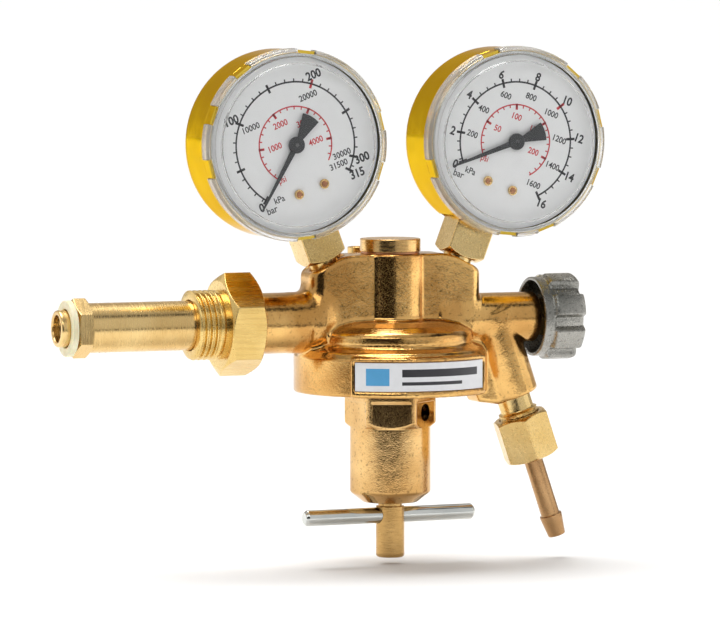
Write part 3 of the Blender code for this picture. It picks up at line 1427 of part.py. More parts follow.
def gauge_dial(name, frame):
    """The dial plate with holes for the arbor and its two screws."""
    radius = RIM_RADIUS - CASE_WALL - DIAL_GAP
    back = DIAL_LEVEL - DIAL_THICKNESS
    dial = rod(name + "_dial", radius, back, DIAL_LEVEL, frame, white_enamel(), steps=28)
    spots = [(0, 0, DIAL_HUB_HOLE), (DIAL_SCREW_X, DIAL_SCREW_Y, DIAL_SCREW_HOLE), (-DIAL_SCREW_X, DIAL_SCREW_Y, DIAL_SCREW_HOLE)]
    for index, (x, y, hole) in enumerate(spots):
        cut = rod(f"{name}_dial_hole_{index}", hole, back - OVERLAP, DIAL_LEVEL + OVERLAP, frame, steps=12, location=(x, y, 0))
        combine(dial, cut)


def dial_screws(name, frame):
    """Two cheese-head screws through the dial into the movement frame."""
    head_low = DIAL_LEVEL + RUNNING_GAP
    head_high = head_low + SCREW_HEAD
    for side, word in ((-1, "left"), (1, "right")):
        screw = [
            (0, head_high),
            (DIAL_SCREW_RADIUS, head_high, 0.2 * MM),
            (DIAL_SCREW_RADIUS, head_low),
            (SCREW_SHANK_RADIUS, head_low),
            (SCREW_SHANK_RADIUS, DIAL_LEVEL - SCREW_SHANK_DEPTH),
            (0, DIAL_LEVEL - SCREW_SHANK_DEPTH),
        ]
        where = (side * DIAL_SCREW_X, DIAL_SCREW_Y, 0)
        piece = turned(f"{name}_dial_screw_{word}", screw, frame, turned_brass(), steps=12, location=where)
        slot = block(
            f"{name}_slot_{word}",
            (-2 * DIAL_SCREW_RADIUS, -SCREW_SLOT_WIDTH / 2, head_high - SCREW_SLOT_DEPTH),
            (2 * DIAL_SCREW_RADIUS, SCREW_SLOT_WIDTH / 2, head_high + OVERLAP),
            frame, location=where, rotation=(0, 0, 0.9 * side),
        )
        combine(piece, slot)


def pointer_outline():
    """Needle along +X, waist at the hub and a flared tail along -X."""
    tip, waist = POINTER_TIP_WIDTH / 2, POINTER_WAIST_WIDTH / 2
    tail = [
        (
            -POINTER_TAIL * math.cos(POINTER_TAIL_HALF_ANGLE * step / 3),
            -POINTER_TAIL * math.sin(POINTER_TAIL_HALF_ANGLE * step / 3),
        )
        for step in range(-3, 4)
    ]
    root = -POINTER_HUB_RADIUS + waist / 2
    needle = [(root, -waist), (0, -waist), (POINTER_LENGTH, -tip), (POINTER_LENGTH, tip), (0, waist), (root, waist)]
    return needle + tail


def pointer(name, frame):
    """The pointer at its zero stop, on the end of the arbor."""
    low = DIAL_LEVEL + POINTER_CLEARANCE
    high = low + POINTER_THICKNESS
    hand = prism(name + "_pointer", pointer_outline(), low, high, frame, black_enamel(), rotation=(0, 0, POINTER_ZERO))
    hub = [
        (0, high + 0.3 * MM),
        (POINTER_HUB_RADIUS, high + 0.3 * MM, 0.3 * MM),
        (POINTER_HUB_RADIUS, low - 0.3 * MM),
        (0, low - 0.3 * MM),
    ]
    combine(hand, turned(name + "_hub", hub, frame, steps=20), "UNION")
    combine(hand, rod(name + "_hub_hole", ARBOR_RADIUS + 0.15 * MM, low - 2 * OVERLAP, high + 2 * OVERLAP, frame, steps=12))


def gear_teeth(teeth, pitch_radius, addendum, dedendum, first, last, middle):
    """Outline points of straight-sided teeth from first to last, counted from the middle angle."""
    step = 2 * math.pi / teeth
    points = []
    for tooth in range(first, last + 1):
        centre = middle + step * tooth
        for radius, share in (
            (pitch_radius - dedendum, -0.30),
            (pitch_radius + addendum, -0.12),
            (pitch_radius + addendum, 0.12),
            (pitch_radius - dedendum, 0.30),
        ):
            angle = centre + share * step
            points.append((radius * math.cos(angle), radius * math.sin(angle)))
    return points


def movement_levels():
    """Heights of the movement's plates, link and sector above the stem plane."""
    back_low = MOUNT_FRONT + SEAT_GAP
    back_high = back_low + FRAME_PLATE
    front_low = back_high + FRAME_SPACE
    front_high = front_low + FRAME_PLATE
    link_low = back_high + 0.5 * MM
    sector_low = link_low + LINK_THICKNESS + 0.4 * MM
    return back_low, back_high, front_low, front_high, link_low, sector_low


def movement(name, frame):
    """Movement frame, pinion arbor, toothed sector and link."""
    back_low, back_high, front_low, front_high, link_low, sector_low = movement_levels()
    pinion_radius = GEAR_MODULE * PINION_TEETH / 2
    sector_radius = pinion_radius * SECTOR_RATIO
    pivot_y = -(pinion_radius + sector_radius)
    bottom = DIAL_SCREW_Y - FRAME_FOOT
    half = FRAME_HALF_WIDTH
    frame_piece = block(name + "_movement_frame", (-half, bottom, back_low), (half, FRAME_HEAD, back_high), frame, turned_brass())
    combine(frame_piece, block(name + "_front_plate", (-half, bottom, front_low), (half, FRAME_HEAD, front_high), frame), "UNION")
    for side in (-1, 1):
        pillar = rod(
            f"{name}_pillar_{side}", PILLAR_RADIUS, back_low + 0.4 * MM, front_high - 0.4 * MM, frame, steps=10,
            location=(side * (half - PILLAR_RADIUS - SEAT_GAP), pivot_y + PILLAR_RISE, 0),
        )
        combine(frame_piece, pillar, "UNION")
        boss_top = DIAL_LEVEL - DIAL_THICKNESS - SEAT_GAP
        boss = rod(
            f"{name}_dial_boss_{side}", DIAL_POST_RADIUS, front_low + 0.4 * MM, boss_top, frame, steps=12,
            location=(side * DIAL_SCREW_X, DIAL_SCREW_Y, 0),
        )
        combine(frame_piece, boss, "UNION")
        tap = rod(
            f"{name}_dial_tap_{side}", SCREW_SHANK_RADIUS + 0.1 * MM, front_low + 0.8 * MM, boss_top + OVERLAP, frame, steps=10,
            location=(side * DIAL_SCREW_X, DIAL_SCREW_Y, 0),
        )
        combine(frame_piece, tap)
    for word, y in (("arbor", 0.0), ("sector", pivot_y)):
        hole = rod(
            f"{name}_{word}_hole", ARBOR_RADIUS + RUNNING_GAP, back_low - OVERLAP, front_high + OVERLAP, frame, steps=10,
            location=(0, y, 0),
        )
        combine(frame_piece, hole)
    teeth = gear_teeth(PINION_TEETH, pinion_radius, 0.6 * GEAR_MODULE, 0.6 * GEAR_MODULE, 0, PINION_TEETH - 1, -math.pi / 2)
    arbor = prism(name + "_pinion_arbor", teeth, sector_low - 0.3 * MM, sector_low + SECTOR_THICKNESS + 0.3 * MM, frame, bright_steel())
    shaft = rod(name + "_shaft", ARBOR_RADIUS, back_low - 0.1 * MM, GAUGE_FRONT - WINDOW_THICKNESS - 0.35 * MM, frame, steps=12)
    combine(arbor, shaft, "UNION")
    sector(name, frame, sector_radius, pivot_y)
    link(name, frame, pivot_y)


def sector(name, frame, radius, pivot_y):
    """The toothed sector on its own arbor, with a tail for the link."""
    levels = movement_levels()
    low = levels[5]
    high = low + SECTOR_THICKNESS
    turns = SECTOR_RATIO * PINION_TEETH
    step = 2 * math.pi / turns
    middle = math.pi / 2 - step / 2
    rim = gear_teeth(turns, radius, 0.45 * GEAR_MODULE, 0.75 * GEAR_MODULE, -SECTOR_LAST_TOOTH, -SECTOR_FIRST_TOOTH, middle)
    hub = 1.8 * MM
    tail_x = SECTOR_TAIL * math.cos(SECTOR_TAIL_ANGLE)
    tail_y = SECTOR_TAIL * math.sin(SECTOR_TAIL_ANGLE)
    side = Vector((-math.sin(SECTOR_TAIL_ANGLE), math.cos(SECTOR_TAIL_ANGLE))) * 1.1 * MM
    reach = Vector((math.cos(SECTOR_TAIL_ANGLE), math.sin(SECTOR_TAIL_ANGLE))) * 1.2 * MM
    outline = rim + [
        (-hub, 0.4 * MM),
        (tail_x - side.x + reach.x, tail_y - side.y + reach.y),
        (tail_x + side.x + reach.x, tail_y + side.y + reach.y),
        (hub, 0.0),
    ]
    pivot = axis_empty(name + "_sector_axis", (0, pivot_y, 0), parent=frame)
    plate = prism(name + "_sector", outline, low, high, pivot, turned_brass())
    combine(plate, rod(name + "_sector_shaft", ARBOR_RADIUS, levels[0] - 0.1 * MM, levels[3] + 0.3 * MM, pivot, steps=12), "UNION")
    pin = rod(name + "_link_pin_hole", 0.7 * MM, low - OVERLAP, high + OVERLAP, pivot, steps=10, location=(tail_x, tail_y, 0))
    combine(plate, pin)


def link(name, frame, pivot_y):
    """The flat link from the sector's tail to the tip of the Bourdon tube, with its pin."""
    levels = movement_levels()
    low = levels[4]
    high = low + LINK_THICKNESS
    start = Vector((SECTOR_TAIL * math.cos(SECTOR_TAIL_ANGLE), pivot_y + SECTOR_TAIL * math.sin(SECTOR_TAIL_ANGLE)))
    end = Vector((TUBE_RADIUS * math.cos(TUBE_END), TUBE_RADIUS * math.sin(TUBE_END)))
    along = end - start
    reach = along.length + 1.0 * MM
    outline = rounded(
        [(-1.2 * MM, -1.1 * MM, 1 * MM), (reach, -1.1 * MM, 1 * MM), (reach, 1.1 * MM, 1 * MM), (-1.2 * MM, 1.1 * MM, 1 * MM)],
        closed=True,
    )
    turn = math.atan2(along.y, along.x)
    bar = prism(name + "_link", outline, low, high, frame, turned_brass(), location=(start.x, start.y, 0), rotation=(0, 0, turn))
    pin_top = levels[5] + SECTOR_THICKNESS + 0.2 * MM
    pin = rod(name + "_link_pin", 0.55 * MM, low + 0.2 * MM, pin_top, frame, steps=10, location=(start.x, start.y, 0))
    combine(bar, pin, "UNION")


def bourdon_tube(name, frame):
    """The flattened C-shaped tube from the socket round to the link."""
    section = bpy.data.curves.new(name + "_tube_section", "CURVE")
    oval = section.splines.new("POLY")
    count = 8
    oval.points.add(count - 1)
    for index in range(count):
        angle = -2 * math.pi * index / count
        oval.points[index].co = (TUBE_DEPTH / 2 * math.cos(angle), TUBE_WIDTH / 2 * math.sin(angle), 0, 1)
    oval.use_cyclic_u = True
    guide = place(bpy.data.objects.new(name + "_tube_section", section), frame)
    curve = bpy.data.curves.new(name + "_bourdon_tube", "CURVE")
    curve.dimensions = "3D"
    curve.bevel_mode = "OBJECT"
    curve.bevel_object = guide
    curve.use_fill_caps = True
    steps = 22
    path = curve.splines.new("POLY")
    path.points.add(steps)
    for index in range(steps + 1):
        angle = TUBE_START + (TUBE_END - TUBE_START) * index / steps
        path.points[index].co = (TUBE_RADIUS * math.cos(angle), TUBE_RADIUS * math.sin(angle), 0, 1)
    place(bpy.data.objects.new(name + "_bourdon_tube", curve), frame, turned_brass())


def gauge_socket(name, frame):
    """The square socket with its threaded stem, and inside the case the movement's mount."""
    half = SOCKET_WIDTH / 2
    top = CASE_RADIUS - SOCKET_ENTRY
    socket = block(name + "_socket", (-half, -SOCKET_BOTTOM, -half), (half, -top, half), frame, turned_brass())
    outer = SOCKET_WIDTH / math.sqrt(2) + SEAT_GAP
    trim = [
        (0, top * -1 + OVERLAP),
        (outer, top * -1 + OVERLAP),
        (outer, -SOCKET_BOTTOM + (outer - half) * math.tan(math.radians(30))),
        (half, -SOCKET_BOTTOM),
        (0, -SOCKET_BOTTOM),
    ]
    upright = (-math.pi / 2, 0, 0)
    combine(socket, turned(name + "_socket_trim", trim, frame, steps=24, rotation=(-math.pi / 2, 0, 0.05)), "INTERSECT")
    low_z = GAUGE_BACK + CASE_WALL + SEAT_GAP
    mount = block(
        name + "_mount", (-MOUNT_HALF_WIDTH, -top - 2 * OVERLAP, low_z), (MOUNT_HALF_WIDTH, MOUNT_TOP, MOUNT_FRONT), frame
    )
    combine(socket, mount, "UNION")
    stem_end = -STEM_SEAT - SOCKET_STEM_LENGTH + 0.6 * MM
    stem = [(0, -SOCKET_BOTTOM + 2 * OVERLAP), (SOCKET_STEM_RADIUS, -SOCKET_BOTTOM + 2 * OVERLAP), (SOCKET_STEM_RADIUS, stem_end, 0.6 * MM), (0, stem_end)]
    combine(socket, turned(name + "_stem", stem, frame, steps=16, rotation=upright), "UNION")
    combine(socket, rod(name + "_stem_bore", SOCKET_BORE, stem_end - OVERLAP, MOUNT_TOP - 8 * OVERLAP, frame, steps=12, rotation=upright))


def gauge(name, frame):
    """One complete pressure gauge."""
    gauge_case(name, frame)
    gauge_window(name, frame)
    gauge_dial(name, frame)
    dial_screws(name, frame)
    pointer(name, frame)
    gauge_socket(name, frame)
    movement(name, frame)
    bourdon_tube(name, frame)


def make_frames():
    """The empties that every piece is placed on."""
    reach = INLET_BOSS_REACH + TAIL_LENGTH + COLLAR_LENGTH + WASHER_THICKNESS + 2 * SEAT_GAP
    main = axis_empty("main_axis", (reach, 0, 0))
    quarter = math.pi / 2
    frames = {
        "main": main,
        "inlet": axis_empty("inlet_axis", (0, 0, 0), (0, -quarter, 0), main),
        "outlet": axis_empty("outlet_axis", (0, 0, 0), (0, quarter, 0), main),
        "hose": axis_empty("hose_axis", (HOSE_BOSS_OFFSET, 0, 0), (0, math.pi - HOSE_LEAN, 0), main),
    }
    for word, side in (("high_gauge", -1), ("low_gauge", 1)):
        tilt = Matrix.Rotation(side * GAUGE_LEAN, 3, "Y") @ Matrix.Rotation(quarter, 3, "X")
        frames[word] = axis_empty(word + "_axis", (side * GAUGE_OFFSET, 0, GAUGE_RISE), tilt.to_euler(), main)
    return frames


def main():
    clear_scene()
    frames = make_frames()
    axis = frames["main"]
    regulator_body(frames)
    label_plate(axis)
    inlet_parts(frames["inlet"])
    inlet_nut(frames["inlet"])
    valve_parts(axis)
    plate_low = diaphragm_parts(axis)
    bonnet_end = bonnet(axis)
    adjusting_parts(axis, plate_low, bonnet_end)
    relief_valve(axis)
    outlet_valve(frames["outlet"])
    handwheel(frames["outlet"])
    hose_connection(frames["hose"])
    for word in ("high_gauge", "low_gauge"):
        gauge(word, frames[word])


main()
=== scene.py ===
import math

import bmesh
import bpy
import numpy as np
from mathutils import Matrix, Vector


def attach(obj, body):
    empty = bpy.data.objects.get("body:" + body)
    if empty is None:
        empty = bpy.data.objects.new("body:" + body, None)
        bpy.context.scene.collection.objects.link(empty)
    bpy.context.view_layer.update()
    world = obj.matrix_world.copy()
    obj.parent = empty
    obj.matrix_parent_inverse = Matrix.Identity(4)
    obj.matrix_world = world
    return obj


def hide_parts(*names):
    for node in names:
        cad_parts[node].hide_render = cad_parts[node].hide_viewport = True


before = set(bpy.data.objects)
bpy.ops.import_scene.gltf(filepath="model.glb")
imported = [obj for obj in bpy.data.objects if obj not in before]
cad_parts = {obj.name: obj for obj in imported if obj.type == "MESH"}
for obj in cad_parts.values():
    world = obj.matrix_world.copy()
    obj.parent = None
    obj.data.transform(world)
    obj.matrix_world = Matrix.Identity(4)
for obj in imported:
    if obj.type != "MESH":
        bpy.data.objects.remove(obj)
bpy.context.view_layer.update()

MM = 0.001
AXIS_X = 113.4 * MM
BODY_AXIS = np.array([AXIS_X / MM, 0, 0])
RIGHT = np.array([1.0, 0, 0])
LEFT = np.array([-1.0, 0, 0])
FRONT = np.array([0, -1.0, 0])
UP = np.array([0, 0, 1.0])

# Camera: a long lens in front and to the left of the regulator, just above its level.
# It looks at the middle of the body, as in the photograph.
CAMERA_TURN = math.radians(21.3041)
CAMERA_REACH = Vector((-765.86, -1936.42, 142.47)) * MM
AIM_LEFT, AIM_UP = 9.992 * MM, 0.688 * MM
PICTURE_WIDTH, LENS_PIXELS, SENSOR_WIDTH = 720, 6315.17, 36
middle = Vector((AXIS_X, 0, 0))
across = Vector((math.cos(CAMERA_TURN), -math.sin(CAMERA_TURN), 0))
aim = middle - AIM_LEFT * across + Vector((0, 0, AIM_UP))


def add_object(name, data):
    """Link a new object that holds the data to the scene."""
    made = bpy.data.objects.new(name, data)
    bpy.context.scene.collection.objects.link(made)
    return made


camera_data = bpy.data.cameras.new("photo_camera")
camera_data.sensor_width = SENSOR_WIDTH
camera_data.lens = LENS_PIXELS / PICTURE_WIDTH * SENSOR_WIDTH
camera_data.clip_start, camera_data.clip_end = 0.05, 60
camera = add_object("photo_camera", camera_data)
camera.location = middle + CAMERA_REACH
camera.rotation_euler = (aim - camera.location).to_track_quat("-Z", "Y").to_euler()
bpy.context.scene.camera = camera
bpy.context.scene.view_settings.view_transform = "Standard"

# Studio: a white sheet that sweeps up behind the object and ends just in front of it, in a dark room.
# One far lamp stands behind and above and throws the soft shadow forward, and a wider one is overhead.
# Two soft boxes stand at each side and one hangs high over the camera. The brass mirrors the boxes as pale
# gold and the dark gap between them, round the camera, as brown.
FLOOR_LEVEL = -81.0 * MM
SHEET_FRONT, SHEET_BACK, SHEET_WIDTH, SHEET_RISE, SHEET_BEND = -0.34, 12.0, 12.0, 0.4, 0.4
into = Vector((math.sin(CAMERA_TURN), math.cos(CAMERA_TURN), 0))


def sweep(width, front, back, rise, radius, level):
    """Sheet grid: flat from front to back as the camera looks, a quarter circle, then a wall."""
    turn = np.linspace(0, math.pi / 2, 24)
    far = np.concatenate([[front], back + radius * np.sin(turn), [back + radius]])[:, None]
    z = np.concatenate([[0], radius * (1 - np.cos(turn)), [rise]])[:, None] + level
    side = np.linspace(-width, width, 3)[None, :]
    x, y = (middle[i] + side * across[i] + far * into[i] for i in (0, 1))
    return np.stack(np.broadcast_arrays(x, y, z), axis=2)


def grid_object(name, points, ring=False, closed=False, capped=False):
    """A mesh object of quads over a grid of points in metres.

    A ring joins its last row to the first, a closed grid its last column, and caps fill the end rows.
    """
    rows, columns = points.shape[:2]
    index = np.arange(rows * columns).reshape(rows, columns)
    caps = [index[0].tolist(), index[-1].tolist()] if capped else []
    if ring:
        index = np.concatenate([index, index[:1]])
    if closed:
        index = np.concatenate([index, index[:, :1]], axis=1)
    quads = np.stack([index[:-1, :-1], index[:-1, 1:], index[1:, 1:], index[1:, :-1]], axis=2)
    mesh = bpy.data.meshes.new(name)
    mesh.from_pydata(points.reshape(-1, 3).tolist(), [], quads.reshape(-1, 4).tolist() + caps)
    return add_object(name, mesh)


def set_sockets(node, values):
    """Set a node's inputs by their names."""
    for socket, value in values.items():
        node.inputs[socket].default_value = value


def new_material(name, values):
    """A node material with its shader's inputs set; returned with its nodes, its links and its shader."""
    made = bpy.data.materials.new(name)
    made.use_nodes = True
    shader = made.node_tree.nodes["Principled BSDF"]
    set_sockets(shader, values)
    return made, made.node_tree.nodes, made.node_tree.links, shader


def ranged(nodes, links, source, low=0.0, high=1.0, start=0.0, end=1.0):
    """A map range node that takes its source from start..end to low..high."""
    spread = nodes.new("ShaderNodeMapRange")
    set_sockets(spread, {"From Min": start, "From Max": end, "To Min": low, "To Max": high})
    links.new(source, spread.inputs["Value"])
    return spread


floor = grid_object(
    "studio_floor", sweep(SHEET_WIDTH, SHEET_FRONT, SHEET_BACK, SHEET_RISE, SHEET_BEND, FLOOR_LEVEL)
)
floor.data.shade_smooth()
floor_paint = new_material("floor_paint", {
    "Base Color": (0.85, 0.85, 0.85, 1), "Roughness": 0.7, "Specular IOR Level": 0.1,
})[0]
floor.data.materials.append(floor_paint)

world = bpy.data.worlds.new("studio_room")
bpy.context.scene.world = world
world.use_nodes = True
room_nodes, room_links = world.node_tree.nodes, world.node_tree.links
depth = room_nodes.new("ShaderNodeVectorMath")
depth.operation = "DOT_PRODUCT"
depth.inputs[1].default_value = into - Vector((0, 0, 0.45))
room_links.new(room_nodes.new("ShaderNodeTexCoord").outputs["Generated"], depth.inputs[0])
room_light = ranged(room_nodes, room_links, depth.outputs["Value"], 0.02, 0.6, -0.1, 0.8)
room_light.interpolation_type = "SMOOTHSTEP"
room_links.new(room_light.outputs["Result"], room_nodes["Background"].inputs["Strength"])
room_nodes["Background"].inputs["Color"].default_value = (1.0, 0.93, 0.84, 1)


def far_lamp(name, height, lean, spread, strength):
    """A lamp without fall-off, from behind at an angle above the floor, leaning to the left."""
    light = bpy.data.lights.new(name, "SUN")
    light.angle, light.energy = math.radians(spread), strength
    obj = add_object(name, light)
    rays = across * math.tan(math.radians(lean)) - into / math.tan(math.radians(height)) - Vector((0, 0, 1))
    obj.rotation_euler = rays.to_track_quat("-Z", "Y").to_euler()


def soft_box(name, angle, distance, low, high, width, radiance, tip=0):
    """A box at an angle to the right of the camera, between two heights, tipped down towards the object."""
    light = bpy.data.lights.new(name, "AREA")
    light.shape = "RECTANGLE"
    light.size, light.size_y = width, high - low
    light.energy = radiance * 4 * width * (high - low)
    obj = add_object(name, light)
    side = across * math.sin(math.radians(angle)) - into * math.cos(math.radians(angle))
    obj.location = middle + side * distance + Vector((0, 0, (low + high) / 2))
    down = Vector((0, 0, -math.tan(math.radians(tip))))
    obj.rotation_euler = (down - side).to_track_quat("-Z", "Y").to_euler()


far_lamp("top_lamp", 80, 10, 42, 3.0)
far_lamp("wide_lamp", 86, 5, 80, 0.65)
soft_box("right_box", 48, 1.1, -0.08, 1.2, 1.25, 0.55)
soft_box("far_right_box", 95, 1.1, -0.08, 0.9, 0.8, 0.8)
soft_box("left_box", -68, 1.1, -0.08, 1.0, 1.15, 0.55)
soft_box("far_left_box", -115, 1.1, -0.08, 0.8, 0.8, 0.5)
soft_box("front_top_box", -15, 0.95, 0.5, 0.9, 1.0, 2.0, 36)

# Body: one hot brass forging, blasted, with machined seats and bores.
# Bosses for the inlet, the outlet valve, the hose and the plug grow out of it with soft fillets.
BODY_VOXEL = 0.55
HOSE_LEAN = math.radians(18.8)
GAUGE_LEAN, GAUGE_REACH, GAUGE_RISE = math.radians(21.0), 38.8, 59.0
RELIEF_PLACE = np.array([-4.9, 16.8, 0])
BLOCK_HALF, BLOCK_DEPTH, BLOCK_TOP, BLOCK_FOOT, BLOCK_SLOPE = 30, 8, 22.2, -4, math.radians(27.5)
CENTRE_BOSS, INLET_BOSS, OUTLET_BOSS, HOSE_BOSS, RELIEF_BOSS = 11.55, 10.0, 8.3, 8.7, 6.2
WEB_HALF, WEB_EASE, PAD_RADIUS, RECESS_RADIUS = 5.5, 1.2, 34.5, 33.4
HOSE_WAY = np.array([math.sin(HOSE_LEAN), 0, -math.cos(HOSE_LEAN)])
HOSE_START = np.array([35.0, 0, 0])


def merge(first, second, width):
    """Lesser of two values, such as a union of two distances, its corner eased by a parabola."""
    near = np.maximum(width - np.abs(first - second), 0) / width
    return np.minimum(first, second) - near * near * width / 4


def rod_distance(p, start, way, low, high, radius, ease=0.0):
    """Distance to a cylinder between two heights along its way, edges rounded by the ease."""
    q = p - start
    along = q @ way
    out = np.sqrt(np.maximum((q * q).sum(1) - along * along, 0)) - radius + ease
    end = np.abs(along - (low + high) / 2) - (high - low) / 2 + ease
    outside = np.sqrt(np.maximum(out, 0) ** 2 + np.maximum(end, 0) ** 2)
    return np.minimum(np.maximum(out, end), 0) + outside - ease


def outline_distance(u, v, corners):
    """Signed distance to a flat polygon: nearest edge, negative inside by the winding rule."""
    best = np.full(u.shape, 1e9)
    inside = np.zeros(u.shape, bool)
    for (au, av), (bu, bv) in zip(corners, corners[1:] + corners[:1]):
        du, dv = bu - au, bv - av
        share = np.clip(((u - au) * du + (v - av) * dv) / (du * du + dv * dv), 0, 1)
        best = np.minimum(best, (u - au - share * du) ** 2 + (v - av - share * dv) ** 2)
        crosses = (av > v) != (bv > v)
        inside ^= crosses & (u < du * (v - av) / (dv if dv else 1e-9) + au)
    return np.where(inside, -1, 1) * np.sqrt(best)


def body_distance(p):
    """Signed distance in millimetres to the forging, with its bores cut out."""
    x, y, z = p.T
    origin = np.zeros(3)
    radius = np.hypot(x, y)
    cup = outline_distance(radius, z, [
        (-5, -0.5), (11, -0.5), (18, -0.8), (22.5, -1.9), (25.5, -3.5), (26.2, -4.4), (26.2, -6.2),
        (25.9, -7.6), (27.6, -8.8), (30.2, -9.8), (31.2, -11.4), (31.2, -22.6), (-5, -22.6),
    ]) - 0.8
    plan = np.hypot(np.maximum(np.abs(x) - 25.5, 0), np.maximum(np.abs(y) - 3.5, 0)) - 4.5
    plan = np.maximum(plan, np.maximum(np.abs(x) - BLOCK_HALF, np.abs(y) - BLOCK_DEPTH))
    shoulder = (np.abs(x) - 19) * math.sin(BLOCK_SLOPE) + (z - BLOCK_TOP) * math.cos(BLOCK_SLOPE)
    top = -merge(-(z - BLOCK_TOP), -shoulder, 2.0)
    block = -merge(-plan, -np.maximum(top, BLOCK_FOOT - z), 1.6)
    shape = merge(block, rod_distance(p, origin, UP, BLOCK_FOOT, 22.15, CENTRE_BOSS, 0.5), 0.7)
    inlet = merge(
        rod_distance(p, origin, LEFT, 23.5, 40, INLET_BOSS, 4.5),
        rod_distance(p, origin, LEFT, 31, 47.5, INLET_BOSS, 0.4), 0.5,
    )
    shape = merge(shape, inlet, 4.0)
    shape = merge(shape, rod_distance(p, origin, RIGHT, 15, 51, OUTLET_BOSS, 0.5), 1.8)
    web = outline_distance(x, z, [
        (27.7, -5), (28.9, -22.6), (30.6, -26.6), (37, -27.4), (43, -25.6), (36.5, -5),
    ])
    web_side = np.abs(y) - WEB_HALF
    web_outside = np.hypot(np.maximum(web, 0), np.maximum(web_side + WEB_EASE, 0))
    web = np.minimum(np.maximum(web, web_side), 0) + web_outside - WEB_EASE
    hose = merge(rod_distance(p, HOSE_START, HOSE_WAY, -2, 27.4, HOSE_BOSS, 0.8), web, 0.9)
    shape = merge(shape, hose, 1.4)
    shape = merge(shape, cup, 1.6)
    shape = merge(shape, rod_distance(p, RELIEF_PLACE, UP, -7, 18.4, RELIEF_BOSS, 0.6), 2.4)
    turn = np.arctan2(x, -y)
    edge = (np.abs(turn) - math.radians(44)) * radius
    pad = np.maximum(np.maximum(radius - PAD_RADIUS, 29 - radius), np.maximum(edge, np.abs(z + 16.8) - 6.5))
    shape = merge(shape, pad, 0.9)
    recess_edge = (np.abs(turn) - math.radians(41.7)) * radius
    recess = np.maximum(RECESS_RADIUS - radius, np.maximum(recess_edge, np.abs(z + 16.45) - 4.95))
    shape = np.maximum(shape, -recess)
    bores = [
        (origin, UP, 11.7, 40, 7.65), (origin, UP, -2, 12, 6.0), (origin, UP, -10, -1, 3.05),
        (origin, UP, -13, -9, 20.0), (origin, UP, -60, -13, 26.25),
        (origin, LEFT, 36.4, 70, 6.75), (origin, LEFT, 5, 37, 1.8),
        (origin, RIGHT, 17, 32, 1.8), (origin, RIGHT, 31, 41, 4.2), (origin, RIGHT, 40.4, 70, 5.55),
        (HOSE_START, HOSE_WAY, 18.2, 50, 5.75), (HOSE_START, HOSE_WAY, 1, 19, 3.0),
        (np.array([18.0, 0, 0]), UP, -10, 0, 1.8),
        (RELIEF_PLACE, UP, 12.1, 40, 3.65), (RELIEF_PLACE, UP, -10, 13, 1.8),
    ]
    for side, reach in ((-1, 63.2), (1, 73.4)):
        stem = np.array([-side * math.sin(GAUGE_LEAN), 0, -math.cos(GAUGE_LEAN)])
        centre = np.array([side * GAUGE_REACH, 0, GAUGE_RISE])
        bores += [
            (centre, stem, 36, 43.1, 7.4), (centre, stem, 42, 53.6, 5.01), (centre, stem, 53, reach, 1.5),
        ]
    for start, way, low, high, size in bores:
        shape = np.maximum(shape, -rod_distance(p, start, way, low, high, size))
    return shape


def settle(points, distance, rounds, limit=0.7, reach=0.02):
    """Move points on to the zero surface of a distance by Newton steps along its gradient."""
    offsets = reach * np.array([[1, -1, -1], [-1, 1, -1], [-1, -1, 1], [1, 1, 1]], float)
    for _ in range(rounds):
        values = [distance(points + offset) for offset in offsets]
        slope = sum(value[:, None] * offset for value, offset in zip(values, offsets)) / (4 * reach * reach)
        value = sum(values) / 4
        step = value[:, None] * slope / np.maximum((slope * slope).sum(1), 0.25)[:, None]
        size = np.linalg.norm(step, axis=1)
        points = points - step * np.minimum(1, limit / np.maximum(size, 1e-9))[:, None]
    return points


def even_out(points, edges, share=0.5):
    """Move each point part of the way to the mean of its neighbours."""
    count = np.bincount(edges.ravel(), minlength=len(points))
    total = np.stack([
        np.bincount(edges[:, 0], points[edges[:, 1], axis], len(points))
        + np.bincount(edges[:, 1], points[edges[:, 0], axis], len(points))
        for axis in range(3)
    ], axis=1)
    return points + share * (total / np.maximum(count, 1)[:, None] - points)


def shade(obj, angle):
    """Shade smooth up to an angle in degrees."""
    obj.data.shade_smooth()
    obj.data.set_sharp_from_angle(angle=math.radians(angle))


def finish_mesh(obj, angle=35):
    """Merge doubles, point the faces outwards and shade smooth up to an angle."""
    shape = bmesh.new()
    shape.from_mesh(obj.data)
    bmesh.ops.remove_doubles(shape, verts=shape.verts, dist=1e-7)
    bmesh.ops.dissolve_degenerate(shape, edges=shape.edges, dist=1e-8)
    bmesh.ops.recalc_face_normals(shape, faces=shape.faces)
    if shape.calc_volume(signed=True) < 0:
        bmesh.ops.reverse_faces(shape, faces=shape.faces)
    shape.to_mesh(obj.data)
    shape.free()
    shade(obj, angle)
    return obj


def apply_modifiers(obj):
    """Bake an object's modifiers into its mesh."""
    mesh = bpy.data.meshes.new_from_object(obj.evaluated_get(bpy.context.evaluated_depsgraph_get()))
    obj.modifiers.clear()
    obj.data = mesh


def mesh_points(mesh):
    """The places of a mesh's points, as an array [point, 3]."""
    flat = np.empty(len(mesh.vertices) * 3)
    mesh.vertices.foreach_get("co", flat)
    return flat.reshape(-1, 3)


